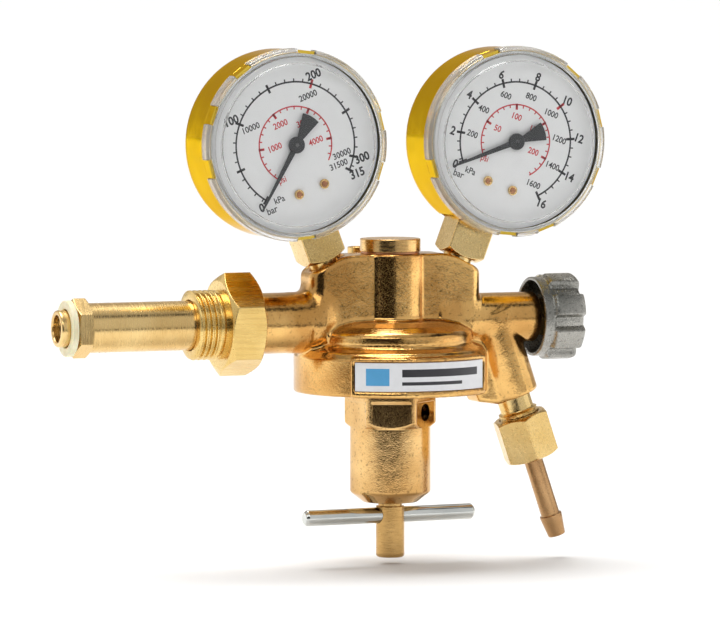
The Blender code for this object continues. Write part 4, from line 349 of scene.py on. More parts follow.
body = add_object("body_forging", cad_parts["regulator_body"].data.copy())
body.data.materials.clear()
finish_mesh(body)
remesh = body.modifiers.new("even_skin", "REMESH")
remesh.mode = "VOXEL"
remesh.voxel_size = BODY_VOXEL * MM
apply_modifiers(body)
pairs = np.empty(len(body.data.edges) * 2, np.int64)
body.data.edges.foreach_get("vertices", pairs)
pairs = pairs.reshape(-1, 2)
skin = settle(mesh_points(body.data) / MM - BODY_AXIS, body_distance, 3)
for _ in range(3):
    skin = settle(even_out(skin, pairs), body_distance, 2)
body.data.vertices.foreach_set("co", ((skin + BODY_AXIS) * MM).ravel())
shade(body, 50)


def mixed(nodes, links, factor, low, high):
    """A colour mix node between two colours by a factor socket; returns its colour output."""
    mix = nodes.new("ShaderNodeMix")
    mix.data_type = "RGBA"
    mix.inputs[6].default_value = (*low, 1)
    mix.inputs[7].default_value = (*high, 1)
    links.new(factor, mix.inputs[0])
    return mix.outputs[2]


def noise_node(nodes, links, vector, scale, detail=3.0, low=0.35, high=0.65):
    """Fractal noise in object space, stretched from low..high to 0..1."""
    noise = nodes.new("ShaderNodeTexNoise")
    set_sockets(noise, {"Scale": scale, "Detail": detail})
    links.new(vector, noise.inputs["Vector"])
    return ranged(nodes, links, noise.outputs["Fac"], 0, 1, low, high).outputs["Result"]


def bumped(nodes, links, height, depth):
    """A bump node whose full height is a depth in millimetres."""
    bump = nodes.new("ShaderNodeBump")
    bump.inputs["Distance"].default_value = depth * MM
    links.new(height, bump.inputs["Height"])
    return bump


def metal(
    name, dark, light, rough, grain, grain_depth, swell=120, swell_depth=0.0, stretch=(1, 1, 1), pits=0.0,
    machined=None,
):
    """Metal whose colour drifts between two tones, with grain in its bump and roughness.

    The stretch squeezes the grain along an axis, which makes lathe rings or drawn lines.
    Pits are the share of dark that small spots get, as left by scale on a forging.
    Where the named attribute is 1, a tool has cut the skin away and the bump is gone.
    """
    made, nodes, links, shader = new_material(name, {"Metallic": 1.0})
    place = nodes.new("ShaderNodeTexCoord").outputs["Object"]
    mapping = nodes.new("ShaderNodeMapping")
    mapping.vector_type = "TEXTURE"
    mapping.inputs["Scale"].default_value = [1 / s for s in stretch]
    links.new(place, mapping.inputs["Vector"])
    drift = noise_node(nodes, links, place, 60, 4)
    tone = mixed(nodes, links, drift, dark, light)
    if pits:
        spots = noise_node(nodes, links, place, 1100, 2, 0.60, 0.70)
        soil = nodes.new("ShaderNodeMix")
        soil.data_type, soil.blend_type = "RGBA", "MULTIPLY"
        soil.inputs[7].default_value = (1 - pits, 1 - pits, 1 - pits, 1)
        links.new(spots, soil.inputs[0])
        links.new(tone, soil.inputs[6])
        tone = soil.outputs[2]
    links.new(tone, shader.inputs["Base Color"])
    fine = noise_node(nodes, links, mapping.outputs["Vector"], grain, 3)
    links.new(ranged(nodes, links, fine, *rough).outputs["Result"], shader.inputs["Roughness"])
    bump = bumped(nodes, links, fine, grain_depth)
    if swell_depth:
        wide = bumped(nodes, links, noise_node(nodes, links, place, swell, 2), swell_depth)
        links.new(wide.outputs["Normal"], bump.inputs["Normal"])
    links.new(bump.outputs["Normal"], shader.inputs["Normal"])
    if machined:
        cut = nodes.new("ShaderNodeAttribute")
        cut.attribute_name = machined
        left = ranged(nodes, links, cut.outputs["Fac"], 1.0, 0.06)
        links.new(left.outputs["Result"], bump.inputs["Strength"])
        links.new(left.outputs["Result"], wide.inputs["Strength"])
    return made


def dress(obj, body_name, finish, slot, *nodes):
    """Give a piece its finish and its body, and hide the CAD nodes that it stands for. The slot is not used.
    """
    obj.data.materials.clear()
    obj.data.materials.append(finish)
    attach(obj, body_name)
    if nodes:
        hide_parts(*nodes)
    return obj


forged_brass = metal(
    "forged_brass", (0.55, 0.29, 0.085), (0.80, 0.49, 0.17), (0.12, 0.24), 1700, 0.012, 260, 0.03, pits=0.35,
)
dress(body, "regulator", forged_brass, "forged_brass", "regulator_body")

# Inlet tail: a turned brass tube with a hexagon collar and a rounded nose that enters the cylinder valve.
# It screws into the inlet boss; a nylon washer seals it and a bronze filter sits in the nose.
INLET_WAY = (BODY_AXIS, LEFT, FRONT)
TAIL_RADIUS, TAIL_FOOT, TAIL_COLLAR, TAIL_FACE, TAIL_TIP = 8.1, 47.8, 105.9, 111.1, 116.3
NOSE_RADIUS, NOSE_BORE, COLLAR_FLATS, TUBE_BORE = 6.03, 4.4, 17.0, 2.5


def eased(profile, ease, samples=4):
    """Round each corner of a closed or open profile [corner, around, 2] with a parabola.

    The parabola starts and ends at the given ease from the corner, at most 40% of a side.
    A further row on each side of it keeps the long faces' shading flat.
    """
    corners = np.asarray(profile, float)
    if corners.ndim == 2:
        corners = corners[:, None, :]
    ease = np.broadcast_to(np.asarray(ease, float), (len(corners),))
    back = np.roll(corners, 1, axis=0) - corners
    ahead = np.roll(corners, -1, axis=0) - corners
    back_length = np.linalg.norm(back, axis=2, keepdims=True)
    ahead_length = np.linalg.norm(ahead, axis=2, keepdims=True)
    reach = np.minimum(ease[:, None, None], 0.4 * np.minimum(back_length, ahead_length))
    start = corners + back / np.maximum(back_length, 1e-9) * reach
    end = corners + ahead / np.maximum(ahead_length, 1e-9) * reach
    rows = []
    for index, size in enumerate(ease):
        if size <= 0:
            rows.append(corners[index])
            continue
        rows.append(corners[index] + 1.2 * (start[index] - corners[index]))
        for share in np.linspace(0, 1, samples):
            first, second = (1 - share) ** 2 * start[index], 2 * share * (1 - share) * corners[index]
            rows.append(first + second + share ** 2 * end[index])
        rows.append(corners[index] + 1.2 * (end[index] - corners[index]))
    return np.array(rows)


def turned(name, profile, way, angles=128, ring=True, smooth=35):
    """Carry a profile [point, around, (radius, height)] in mm round an axis.

    A point is start + height along the way + radius at the angle from the way's first side.
    Angles may be a count or the angles themselves. A ring closes its profile on itself.
    """
    start, forward, side = way
    other = np.cross(forward, side)
    profile = np.asarray(profile, float)
    if profile.ndim == 2:
        profile = profile[:, None, :]
    theta = np.linspace(0, 2 * math.pi, angles, endpoint=False) if np.isscalar(angles) else np.asarray(angles)
    radius = np.broadcast_to(profile[:, :, 0], (len(profile), len(theta)))
    height = np.broadcast_to(profile[:, :, 1], (len(profile), len(theta)))
    spoke = np.cos(theta)[:, None] * side + np.sin(theta)[:, None] * other
    points = start + height[:, :, None] * forward + radius[:, :, None] * spoke[None]
    return finish_mesh(grid_object(name, points * MM, ring, closed=True), smooth)


def level_rows(theta, corners):
    """Profile rows [around, (radius, height)] from corners whose values are numbers or arrays."""
    return [np.stack(np.broadcast_arrays(radius, height, theta)[:2], 1) for radius, height in corners]


def corner_arc(across_flats, sides, corner):
    """Distance of a prism's corner arc from its axis, and half the angle that the arc takes up."""
    half = math.pi / sides
    centre = (across_flats / 2 - corner) / math.cos(half)
    return centre, math.atan2(corner * math.sin(half), centre + corner * math.cos(half))


def flats(theta, across_flats, sides, turn, corner):
    """Radius of a regular prism at each angle, a corner at the turn, its corners rounded."""
    step = 2 * math.pi / sides
    off = np.abs((theta - turn + step / 2) % step - step / 2)
    centre, limit = corner_arc(across_flats, sides, corner)
    straight = across_flats / 2 / np.cos(step / 2 - off)
    curved = centre * np.cos(off) + np.sqrt(np.maximum(corner ** 2 - (centre * np.sin(off)) ** 2, 0))
    return np.where(off < limit, curved, straight)


def flat_angles(sides, turn, across_flats, corner, along=8):
    """Angles for a prism: even along each flat and close together round each corner."""
    step = 2 * math.pi / sides
    limit = corner_arc(across_flats, sides, corner)[1]
    close = limit * np.concatenate([[-1.5], np.linspace(-1, 1, 7), [1.5]])
    rest = np.linspace(1.5 * limit, step - 1.5 * limit, along + 2)[1:-1]
    one = np.concatenate([close, rest])
    return np.concatenate([turn + step * side + one for side in range(sides)])


def nut_profile(theta, across_flats, low, high, turn, bore, corner=0.35, low_cut=30, high_cut=30):
    """Closed profile of a nut per angle: faces, cone chamfers that meet the flats, and bore."""
    outer = flats(theta, across_flats, 6, turn, corner)
    face = 0.485 * across_flats
    rise = np.maximum(outer - face, 0)
    side = np.maximum(outer, face)
    near, far = rise * math.tan(math.radians(low_cut)), rise * math.tan(math.radians(high_cut))
    return np.array(level_rows(theta, [
        (bore, low), (face, low), (side, low + near), (side, high - far), (face, high), (bore, high),
    ]))


def lathe(name, profile, ease, way, finish, slot, *nodes, body_name="regulator", samples=4, **form):
    """Turn a piece from an eased profile and dress it; the form goes to turned as it is."""
    return dress(turned(name, eased(profile, ease, samples), way, **form), body_name, finish, slot, *nodes)


turned_brass = metal(
    "turned_brass", (0.66, 0.43, 0.16), (0.80, 0.57, 0.25), (0.18, 0.30), 900, 0.002, stretch=(3, 0.2, 0.2),
)
lathe("inlet_tube", [
    (TUBE_BORE, TAIL_FOOT - 10.8), (6.6, TAIL_FOOT - 10.8), (6.6, TAIL_FOOT), (TAIL_RADIUS, TAIL_FOOT),
    (TAIL_RADIUS, TAIL_COLLAR + 0.6), (TUBE_BORE, TAIL_COLLAR + 0.6),
], [0, 0.3, 0, 0.4, 0, 0], INLET_WAY, turned_brass, "turned_brass", "inlet_tail")
lathe("inlet_nose", [
    (TUBE_BORE, TAIL_COLLAR + 1), (NOSE_RADIUS, TAIL_COLLAR + 1), (NOSE_RADIUS, TAIL_TIP),
    (NOSE_BORE, TAIL_TIP), (NOSE_BORE, TAIL_TIP - 8.3), (TUBE_BORE, TAIL_TIP - 8.3),
], [0, 0, 0.9, 0.5, 0.2, 0], INLET_WAY, turned_brass, "turned_brass", angles=96)
collar_angles = flat_angles(6, math.pi / 2, COLLAR_FLATS, 0.3)
collar_profile = nut_profile(
    collar_angles, COLLAR_FLATS, TAIL_COLLAR, TAIL_FACE, math.pi / 2, 5.0, 0.3, 20, 20
)
lathe(
    "inlet_collar", collar_profile, 0.12, INLET_WAY, turned_brass, "turned_brass", samples=3,
    angles=collar_angles,
)

# Washer: a plain ring of cream nylon pushed over the nose against the collar.
cream_nylon, nylon_nodes, nylon_links, nylon = new_material("cream_nylon", {
    "Roughness": 0.42, "Subsurface Weight": 0.15, "Subsurface Scale": 0.002,
})
nylon_place = nylon_nodes.new("ShaderNodeTexCoord").outputs["Object"]
nylon_drift = noise_node(nylon_nodes, nylon_links, nylon_place, 300)
nylon_tone = mixed(nylon_nodes, nylon_links, nylon_drift, (0.78, 0.72, 0.46), (0.86, 0.81, 0.58))
nylon_links.new(nylon_tone, nylon.inputs["Base Color"])
lathe(
    "nylon_washer", [(6.3, 111.4), (9.2, 111.4), (9.2, 113.4), (6.3, 113.4)], 0.35, INLET_WAY,
    cream_nylon, "cream_nylon", "inlet_washer", angles=96,
)

# Union nut: hexagon bar turned down to a male thread, loose on the tail so that it can be run up by hand.
NUT_BACK, NUT_FACE, NUT_FRONT = 48.7, 60.7, 70.7
NUT_THREAD, NUT_PITCH, NUT_DEPTH = 11.45, 1.814, 1.05
NUT_TURN, NUT_FLATS, NUT_BORE = math.radians(82.0), 30.0, 8.25
THREAD_START, THREAD_END = NUT_FACE + 2.2, NUT_FRONT - 0.35


def thread_radius(height, theta, crest, pitch, depth, low, high, fade=1.2):
    """Radius of a rounded screw thread: a trapezoid wave on height/pitch less angle/turn."""
    phase = (height / pitch - theta / (2 * math.pi)) % 1.0
    wave = np.clip((np.abs(phase - 0.5) * 2 - 0.16) / 0.66, 0, 1)
    wave = wave * wave * (3 - 2 * wave)
    ends = np.clip((height - low) / fade, 0, 1) * np.clip((high - height) / fade + 0.35, 0, 1)
    return crest - depth * wave * ends


def thread_skin(theta, rows, low, high, crest, pitch, depth, hand=1):
    """Rows of a thread's surface between two heights; hand is -1 for a left-hand thread."""
    height = np.broadcast_to(np.linspace(low, high, rows)[:, None], (rows, len(theta)))
    radius = thread_radius(height, hand * theta[None, :], crest, pitch, depth, low, high)
    return np.stack([radius, height], axis=2)


nut_angles = flat_angles(6, NUT_TURN, NUT_FLATS, 0.4)
nut_brass = metal(
    "nut_brass", (0.68, 0.46, 0.15), (0.80, 0.58, 0.22), (0.20, 0.32), 700, 0.002, stretch=(0.12, 1.5, 1.5),
)
nut_hex_profile = nut_profile(nut_angles, NUT_FLATS, NUT_BACK, NUT_FACE, NUT_TURN, NUT_BORE, 0.4)
lathe(
    "union_nut_hexagon", nut_hex_profile, 0.2, INLET_WAY, nut_brass, "turned_brass", "inlet_nut",
    body_name="union_nut", samples=3, angles=nut_angles,
)
thread_theta = np.linspace(0, 2 * math.pi, 144, endpoint=False)
lead_in = level_rows(thread_theta, (
    (NUT_BORE, NUT_FACE - 1), (NUT_THREAD - 0.1, NUT_FACE - 1), (NUT_THREAD - 0.1, NUT_FACE + 0.9),
    (NUT_THREAD - 0.75, NUT_FACE + 1.2), (NUT_THREAD - 0.75, NUT_FACE + 1.9),
))
thread_part = thread_skin(thread_theta, 104, THREAD_START, THREAD_END, NUT_THREAD, NUT_PITCH, NUT_DEPTH)
run_out = level_rows(thread_theta, (
    (NUT_THREAD - 1.0, NUT_FRONT), (NUT_BORE + 0.25, NUT_FRONT), (NUT_BORE, NUT_FRONT - 0.3),
))
nut_thread = turned(
    "union_nut_thread", np.concatenate([lead_in, thread_part, run_out]), INLET_WAY, thread_theta, smooth=50
)
dress(nut_thread, "union_nut", nut_brass, "turned_brass")

# Top plug: a turned cap that closes the valve chamber, over a copper ring.
UP_WAY = (BODY_AXIS, UP, FRONT)
plug_brass = metal(
    "plug_brass", (0.68, 0.42, 0.16), (0.78, 0.52, 0.22), (0.18, 0.30), 900, 0.006, stretch=(0.3, 0.3, 2),
)
lathe(
    "top_plug_cap", [(0, 12), (7.5, 12), (7.5, 22.9), (10, 22.9), (10, 27.1), (0, 27.1)],
    [0, 0.3, 0, 0.15, 0.35, 0], UP_WAY, plug_brass, "turned_brass", "top_plug", angles=112, ring=False,
)
copper = metal("soft_copper", (0.55, 0.27, 0.15), (0.68, 0.36, 0.22), (0.3, 0.45), 900, 0.01)
lathe(
    "plug_copper_ring", [(7.8, 22.2), (9.6, 22.2), (9.6, 22.85), (7.8, 22.85)], 0.15, UP_WAY,
    copper, "soft_copper", "plug_seal", samples=3, angles=96,
)

# Bonnet: forged spring housing with a rough skin, six milled flats under its flange and a vent hole.
BONNET_RADIUS, BONNET_END, BONNET_FLAT = 13.4, -60.1, 13.5
BONNET_TURN = math.radians(39.7)
VENT_RADIUS, VENT_LEVEL = 2.95, -30.1


def panel_cut(theta, z):
    """1 inside the smooth flat that is milled into each side of the hexagon, 0 on its border."""
    off = (theta - BONNET_TURN + math.pi / 6) % (math.pi / 3) - math.pi / 6
    side = np.clip((6.6 - np.abs(BONNET_FLAT * np.tan(off))) / 0.4, 0, 1)
    return side * np.clip((-26.3 - z) / 0.4, 0, 1)


def bonnet_radius(theta, z):
    """Hexagon with milled flats, blended into the barrel by a cone, then its end taper."""
    forged = flats(theta, 2 * BONNET_FLAT + 0.1, 6, BONNET_TURN + math.pi / 6, 3.6)
    hexagon = forged - 0.35 * panel_cut(theta, z)
    cone = BONNET_RADIUS + np.maximum(z + 35.2, 0) * 1.2
    upper = merge(hexagon, cone, 0.6)
    return merge(upper, 9.1 + (z - BONNET_END) * 1.3, 0.8)


bonnet_theta = np.linspace(0, 2 * math.pi, 396, endpoint=False)
bonnet_z = np.linspace(-23.4, BONNET_END, 150)[:, None]
bonnet_skin = np.stack(np.broadcast_arrays(bonnet_radius(bonnet_theta[None, :], bonnet_z), bonnet_z), axis=2)
flange = level_rows(bonnet_theta, (
    (11.0, -52.5), (11.0, -19.9), (15.8, -19.9), (15.8, -15.7), (26.0, -15.7), (26.1, -16.0), (26.1, -22.4),
    (25.7, -22.8), (16.4, -22.85),
))
bonnet_mouth = level_rows(bonnet_theta, (
    (8.6, BONNET_END), (4.4, BONNET_END), (4.15, BONNET_END + 0.3), (4.15, -52.5),
))
bonnet = turned(
    "spring_bonnet", np.concatenate([flange, bonnet_skin, bonnet_mouth]), UP_WAY, bonnet_theta, smooth=40
)
vent_side = np.array([math.sin(BONNET_TURN), -math.cos(BONNET_TURN), 0])
vent_tool = turned(
    "vent_tool", [(0, 5), (VENT_RADIUS, 5), (VENT_RADIUS, 20), (0, 20)],
    (BODY_AXIS + VENT_LEVEL * UP, vent_side, UP), 48, ring=False,
)


def cut_away(obj, tool, angle):
    """Cut a tool out of an object, remove the tool, and shade smooth up to an angle."""
    cut = obj.modifiers.new("cut", "BOOLEAN")
    cut.operation, cut.object, cut.solver = "DIFFERENCE", tool, "EXACT"
    apply_modifiers(obj)
    bpy.data.objects.remove(tool)
    shade(obj, angle)


cut_away(bonnet, vent_tool, 42)
place = mesh_points(bonnet.data) / MM
turned_to = np.arctan2(place[:, 0] - BODY_AXIS[0], -place[:, 1])
cut_share = np.maximum(panel_cut(turned_to, place[:, 2]) * (place[:, 2] > -35.8), (place[:, 2] < -56.8) * 1.0)
machined = bonnet.data.attributes.new("machined", "FLOAT", "POINT")
machined.data.foreach_set("value", np.maximum(cut_share, place[:, 2] > -23.6).astype(np.float32))
bonnet_brass = metal(
    "rough_forged_brass", (0.56, 0.32, 0.11), (0.80, 0.52, 0.22), (0.08, 0.17), 2400, 0.010, 300, 0.015,
    pits=0.45, machined="machined",
)
dress(bonnet, "regulator", bonnet_brass, "forged_brass", "bonnet")

# Adjusting screw: brass spindle with a thread hidden in the bonnet, and a plated steel bar through its head.
SPINDLE_NECK, SPINDLE_TIP, BAR_LEVEL, BAR_RADIUS = -61.5, -78.6, -64.6, 2.65
BAR_TURN = math.radians(3.7)
spindle = turned(
    "adjusting_spindle_head",
    eased([
        (0, -40.1), (2.5, -40.1), (2.5, -42.3), (4.0, -42.3), (4.0, SPINDLE_NECK), (4.74, SPINDLE_NECK),
        (4.74, SPINDLE_TIP), (0, SPINDLE_TIP),
    ], [0, 0.3, 0, 0.4, 0, 0.5, 1.2, 0], 5),
    UP_WAY, 96, ring=False,
)
bar_side = np.array([math.cos(BAR_TURN), math.sin(BAR_TURN), 0])
bar_way = (BODY_AXIS + BAR_LEVEL * UP, bar_side, UP)
bar_hole = BAR_RADIUS + 0.12
bar_tool = turned("bar_tool", [(0, -12), (bar_hole, -12), (bar_hole, 12), (0, 12)], bar_way, 48, ring=False)
cut_away(spindle, bar_tool, 35)
# The spindle's brass is painted darker than the other turned brass. This is painted shade standing in for the
# shadowed floor that the spindle mirrors.
spindle_brass_painted_shade = metal(
    "spindle_brass_painted_shade", (0.46, 0.27, 0.09), (0.56, 0.35, 0.13), (0.16, 0.28), 900, 0.004,
    stretch=(0.3, 0.3, 2.5),
)
dress(spindle, "adjusting_screw", spindle_brass_painted_shade, "turned_brass", "adjusting_spindle")
plated_steel = metal(
    "plated_steel", (0.58, 0.60, 0.58), (0.72, 0.73, 0.70), (0.10, 0.20), 700, 0.004, stretch=(0.3, 2, 2),
)
lathe(
    "plated_t_bar",
    [(0, -31.3), (1.9, -31.3), (BAR_RADIUS, -30.4), (BAR_RADIUS, 29.4), (1.9, 30.3), (0, 30.3)],
    [0, 0.15, 0.15, 0.15, 0.15, 0], bar_way, plated_steel, "bright_steel", "t_bar",
    body_name="adjusting_screw", samples=3, angles=64, ring=False,
)

# Relief valve: a small turned cap on its own boss behind the plug.
RELIEF_WAY = (BODY_AXIS + RELIEF_PLACE, UP, FRONT)
lathe("relief_cap", [
    (1.2, 12.4), (3.5, 12.4), (3.5, 18.6), (4.8, 18.6), (4.8, 21.3), (3.5, 21.3), (3.5, 23.6),
    (2.5, 23.6), (2.5, 13.8), (1.2, 13.8),
], [
    0, 0.2, 0, 0.3, 0.4, 0.1, 0.3, 0.1, 0, 0,
], RELIEF_WAY, turned_brass, "turned_brass", "relief_housing", angles=72)

# Outlet valve: gland nut and stem between the outlet boss and the handwheel.
OUT_WAY = (BODY_AXIS, RIGHT, FRONT)
GLAND_FLATS = 12.0
gland_angles = flat_angles(6, 0.0, GLAND_FLATS, 0.3)
gland_profile = nut_profile(gland_angles, GLAND_FLATS, 51.1, 54.7, 0.0, 2.15, 0.3, low_cut=0)
lathe(
    "gland_hexagon", gland_profile, 0.15, OUT_WAY, turned_brass, "turned_brass", "gland_nut",
    samples=3, angles=gland_angles,
)
lathe(
    "outlet_stem", [(0, 34.3), (2.0, 34.3), (2.0, 62), (1.6, 62), (1.6, 64.5), (0, 64.5)],
    [0, 0.1, 0, 0, 0.3, 0], OUT_WAY, turned_brass, "turned_brass", "valve_stem",
    body_name="outlet_handwheel", angles=48, ring=False,
)

# Handwheel: blasted zinc casting with a plain rim, seven ridges, a hollow back and a hub for the stem.
WHEEL_RIM, WHEEL_GRIP, WHEEL_END = 50.4, 53.9, 64.9
WHEEL_TURN, WHEEL_PITCH = math.radians(-19.7), 2 * math.pi / 7
WHEEL_NUT_FLATS = 6.0
wheel_theta = np.linspace(0, 2 * math.pi, 336, endpoint=False)
lobe = np.abs(((wheel_theta - WHEEL_TURN) / WHEEL_PITCH + 0.5) % 1.0 - 0.5) * WHEEL_PITCH
rise = np.clip((math.radians(19.0) - lobe) / math.radians(5.5), 0, 1)
rise = rise * rise * (3 - 2 * rise)
wheel_radius = 12.0 + 2.4 * rise
wheel_corners = np.array(level_rows(wheel_theta, (
    (4.2, WHEEL_END), (wheel_radius, WHEEL_END), (wheel_radius, WHEEL_GRIP + 0.7), (13.2, WHEEL_GRIP - 0.2),
    (13.2, WHEEL_RIM), (12.1, WHEEL_RIM), (11.7, 56), (10.2, 61.5), (4.4, 61.5), (4.4, 56.3), (2.15, 56.3),
    (2.15, 62.5), (4.2, 62.5),
)))
wheel_eases = [0.2, 1.8, 0.6, 0.5, 0.5, 0.4, 1.0, 1.0, 0.4, 0.3, 0, 0.1, 0.2]
cast_zinc = metal(
    "cast_zinc", (0.22, 0.22, 0.20), (0.38, 0.37, 0.34), (0.22, 0.40), 1600, 0.05, 300, 0.03, pits=0.4,
)
lathe(
    "zinc_handwheel", wheel_corners, wheel_eases, OUT_WAY, cast_zinc, "cast_zinc", "handwheel",
    body_name="outlet_handwheel", samples=5, angles=wheel_theta, smooth=45,
)
wheel_nut_angles = flat_angles(6, 0.3, WHEEL_NUT_FLATS, 0.2)
wheel_nut_profile = nut_profile(wheel_nut_angles, WHEEL_NUT_FLATS, 62.8, 64.6, 0.3, 1.7, 0.2)
lathe(
    "stem_nut", wheel_nut_profile, 0.1, OUT_WAY, plated_steel, "bright_steel", "wheel_nut",
    body_name="outlet_handwheel", samples=3, angles=wheel_nut_angles,
)

# Hose connection: adaptor with its left-hand thread, hose nut, and a barbed tail on the leaning boss.
HOSE_AXIS = (BODY_AXIS + HOSE_START, HOSE_WAY, FRONT)
HOSE_NUT_TURN, HOSE_NUT_FLATS, HOSE_BORE = math.radians(11.8), 17.0, 4.4
ADAPTOR_THREAD, ADAPTOR_PITCH, ADAPTOR_DEPTH = 6.58, 1.337, 0.75
fitting_brass = metal(
    "fitting_brass", (0.72, 0.49, 0.18), (0.84, 0.62, 0.28), (0.18, 0.30), 900, 0.002, 200, 0.012, pits=0.2,
)
adaptor_theta = np.linspace(0, 2 * math.pi, 112, endpoint=False)
adaptor = turned("outlet_adaptor_thread", np.concatenate([
    level_rows(adaptor_theta, ((2.5, 18.5), (5.6, 18.5), (5.6, 32.2), (5.8, 32.7))),
    thread_skin(adaptor_theta, 70, 33.0, 40.6, ADAPTOR_THREAD, ADAPTOR_PITCH, ADAPTOR_DEPTH, hand=-1),
    level_rows(adaptor_theta, ((5.9, 41.0), (2.5, 41.0))),
]), HOSE_AXIS, adaptor_theta, smooth=50)
dress(adaptor, "regulator", fitting_brass, "turned_brass", "outlet_adaptor")
hose_angles = flat_angles(6, HOSE_NUT_TURN, HOSE_NUT_FLATS, 0.35)
hose_nut_profile = nut_profile(hose_angles, HOSE_NUT_FLATS, 34.7, 49.6, HOSE_NUT_TURN, HOSE_BORE, 0.35)
hose_nut_profile[0, :, 0] = 6.9
hose_nut_inside = level_rows(hose_angles, ((HOSE_BORE, 43.9), (6.9, 43.9)))
hose_nut_eases = [0.2, 0.15, 0.15, 0.15, 0.15, 0.2, 0, 0]
lathe(
    "hose_union_nut", np.concatenate([hose_nut_profile, hose_nut_inside]), hose_nut_eases, HOSE_AXIS,
    fitting_brass, "turned_brass", "hose_nut", samples=3, angles=hose_angles,
)
hose_brass = metal(
    "hose_tail_brass", (0.38, 0.21, 0.09), (0.50, 0.30, 0.14), (0.16, 0.28), 900, 0.005, stretch=(2, 0.3, 2),
)
lathe("barbed_hose_tail", [
    (2.0, 42.1), (6.2, 42.1), (6.2, 43.6), (4.05, 43.6), (4.05, 50.6), (3.15, 50.6), (3.15, 70.1),
    (3.77, 70.3), (3.72, 71.4), (2.9, 77.6), (2.0, 77.6),
], [
    0, 0.2, 0.2, 0, 0.4, 0.2, 0.2, 0.15, 0.6, 0.5, 0.2,
], HOSE_AXIS, hose_brass, "turned_brass", "hose_tail", samples=5, angles=96)

# Label: a thin white plate let into the pad on the front of the cup.
# It is printed with a plain blue block and two dark bars.
LABEL_RADIUS, LABEL_HALF, LABEL_LOW, LABEL_HIGH = 34.05, math.radians(41.2), -21.1, -11.75


def bent_plate(name, inner, outer, start, end, low, high, columns=60):
    """A plate bent about the upright axis between two angles from the front, edges eased."""
    turn = np.linspace(start, end, columns)
    profile = eased([(inner, low), (outer, low), (outer, high), (inner, high)], [0, 0.12, 0.12, 0], 3)[:, 0]
    radius, height = profile[:, 0][None, :], profile[:, 1][None, :]
    x = BODY_AXIS[0] + radius * np.sin(turn)[:, None]
    y = -radius * np.cos(turn)[:, None]
    points = np.stack(np.broadcast_arrays(x, y, height), axis=2)
    return finish_mesh(grid_object(name, points * MM, closed=True, capped=True))


def painted(name, colour, rough, worn=0.06):
    """A paint or plastic with faint blotches in its tone and a fine bump."""
    made, nodes, links, shader = new_material(name, {"Roughness": rough})
    place = nodes.new("ShaderNodeTexCoord").outputs["Object"]
    faded = [c * (1 - worn) for c in colour]
    tone = mixed(nodes, links, noise_node(nodes, links, place, 250), faded, colour)
    links.new(tone, shader.inputs["Base Color"])
    bump = bumped(nodes, links, noise_node(nodes, links, place, 2500), 0.004)
    links.new(bump.outputs["Normal"], shader.inputs["Normal"])
    return made


label_white = painted("label_white", (0.82, 0.83, 0.85), 0.35)
label_blue = painted("label_blue", (0.10, 0.38, 0.68), 0.35)
label_black = painted("label_black", (0.03, 0.03, 0.035), 0.35)
label = bent_plate("label_white_plate", 33.55, LABEL_RADIUS, -LABEL_HALF, LABEL_HALF, LABEL_LOW, LABEL_HIGH)
dress(label, "regulator", label_white, "white_label", "label_plate")
for mark, (start, end, low, high, paint) in {
    "label_blue_block": (-35, -22, -19.2, -13.6, label_blue),
    "label_upper_bar": (-15, 35, -16.4, -13.9, label_black),
    "label_lower_bar": (-15, 22, -19.1, -18.0, label_black),
}.items():
    ends = math.radians(start), math.radians(end)
    piece = bent_plate(mark, LABEL_RADIUS - 0.02, LABEL_RADIUS + 0.02, *ends, low, high, 40)
    dress(piece, "regulator", paint, "white_label")

# Gauges: gold lacquered steel cases with snap-on clear windows, white dials, and a square socket.
# The two differ only in their lean, their scales and where the window's notches fall.
GAUGE_FRONT, DIAL_LEVEL, DIAL_RADIUS, WINDOW_RADIUS, CASE_RADIUS = 17.8, 14.2, 28.7, 31.5, 31.0
SCALE_START, HAND_REST = math.radians(219.3), math.radians(220)
SOCKET_FLATS, SOCKET_FACE, SOCKET_NECK = 13.3, 6.45, 4.86
SCREW_OFFSET, SCREW_DROP, HAND_LOW, HAND_HIGH, TAB_WIDTH = 4.7, 15.5, 15.1, 15.5, 6.0


def gauge_way(side):
    """Gauge centre, the way to the reader, and the gauge's own right-hand side."""
    lean = side * GAUGE_LEAN
    right = np.array([math.cos(lean), 0, -math.sin(lean)])
    return BODY_AXIS + np.array([side * GAUGE_REACH, 0, GAUGE_RISE]), FRONT, right


def gauge_points(side, flat, level):
    """Row-frame points in millimetres of flat gauge coordinates at a level in front of the stem."""
    centre, forward, right = gauge_way(side)
    up = np.cross(forward, right)
    return centre + flat[:, :1] * right + flat[:, 1:2] * up + level * forward


gilt = metal("gold_lacquer", (0.74, 0.50, 0.05), (0.84, 0.60, 0.09), (0.08, 0.16), 260, 0.004, 120, 0.015)
set_sockets(gilt.node_tree.nodes["Principled BSDF"], {
    "Coat Weight": 0.1, "Coat Roughness": 0.04, "Specular Tint": (0.80, 0.58, 0.16, 1),
})
dial_white = painted("dial_white", (0.86, 0.87, 0.87), 0.5, 0.02)
dial_black = painted("dial_black", (0.02, 0.02, 0.025), 0.45)
dial_red = painted("dial_red", (0.62, 0.04, 0.05), 0.45)
pointer_grey = painted("pointer_grey", (0.03, 0.032, 0.035), 0.5)
screw_brass = metal("screw_brass", (0.75, 0.50, 0.20), (0.88, 0.66, 0.32), (0.2, 0.3), 900, 0.005)
screw_copper = metal("screw_copper", (0.45, 0.2, 0.1), (0.6, 0.3, 0.16), (0.25, 0.35), 900, 0.005)

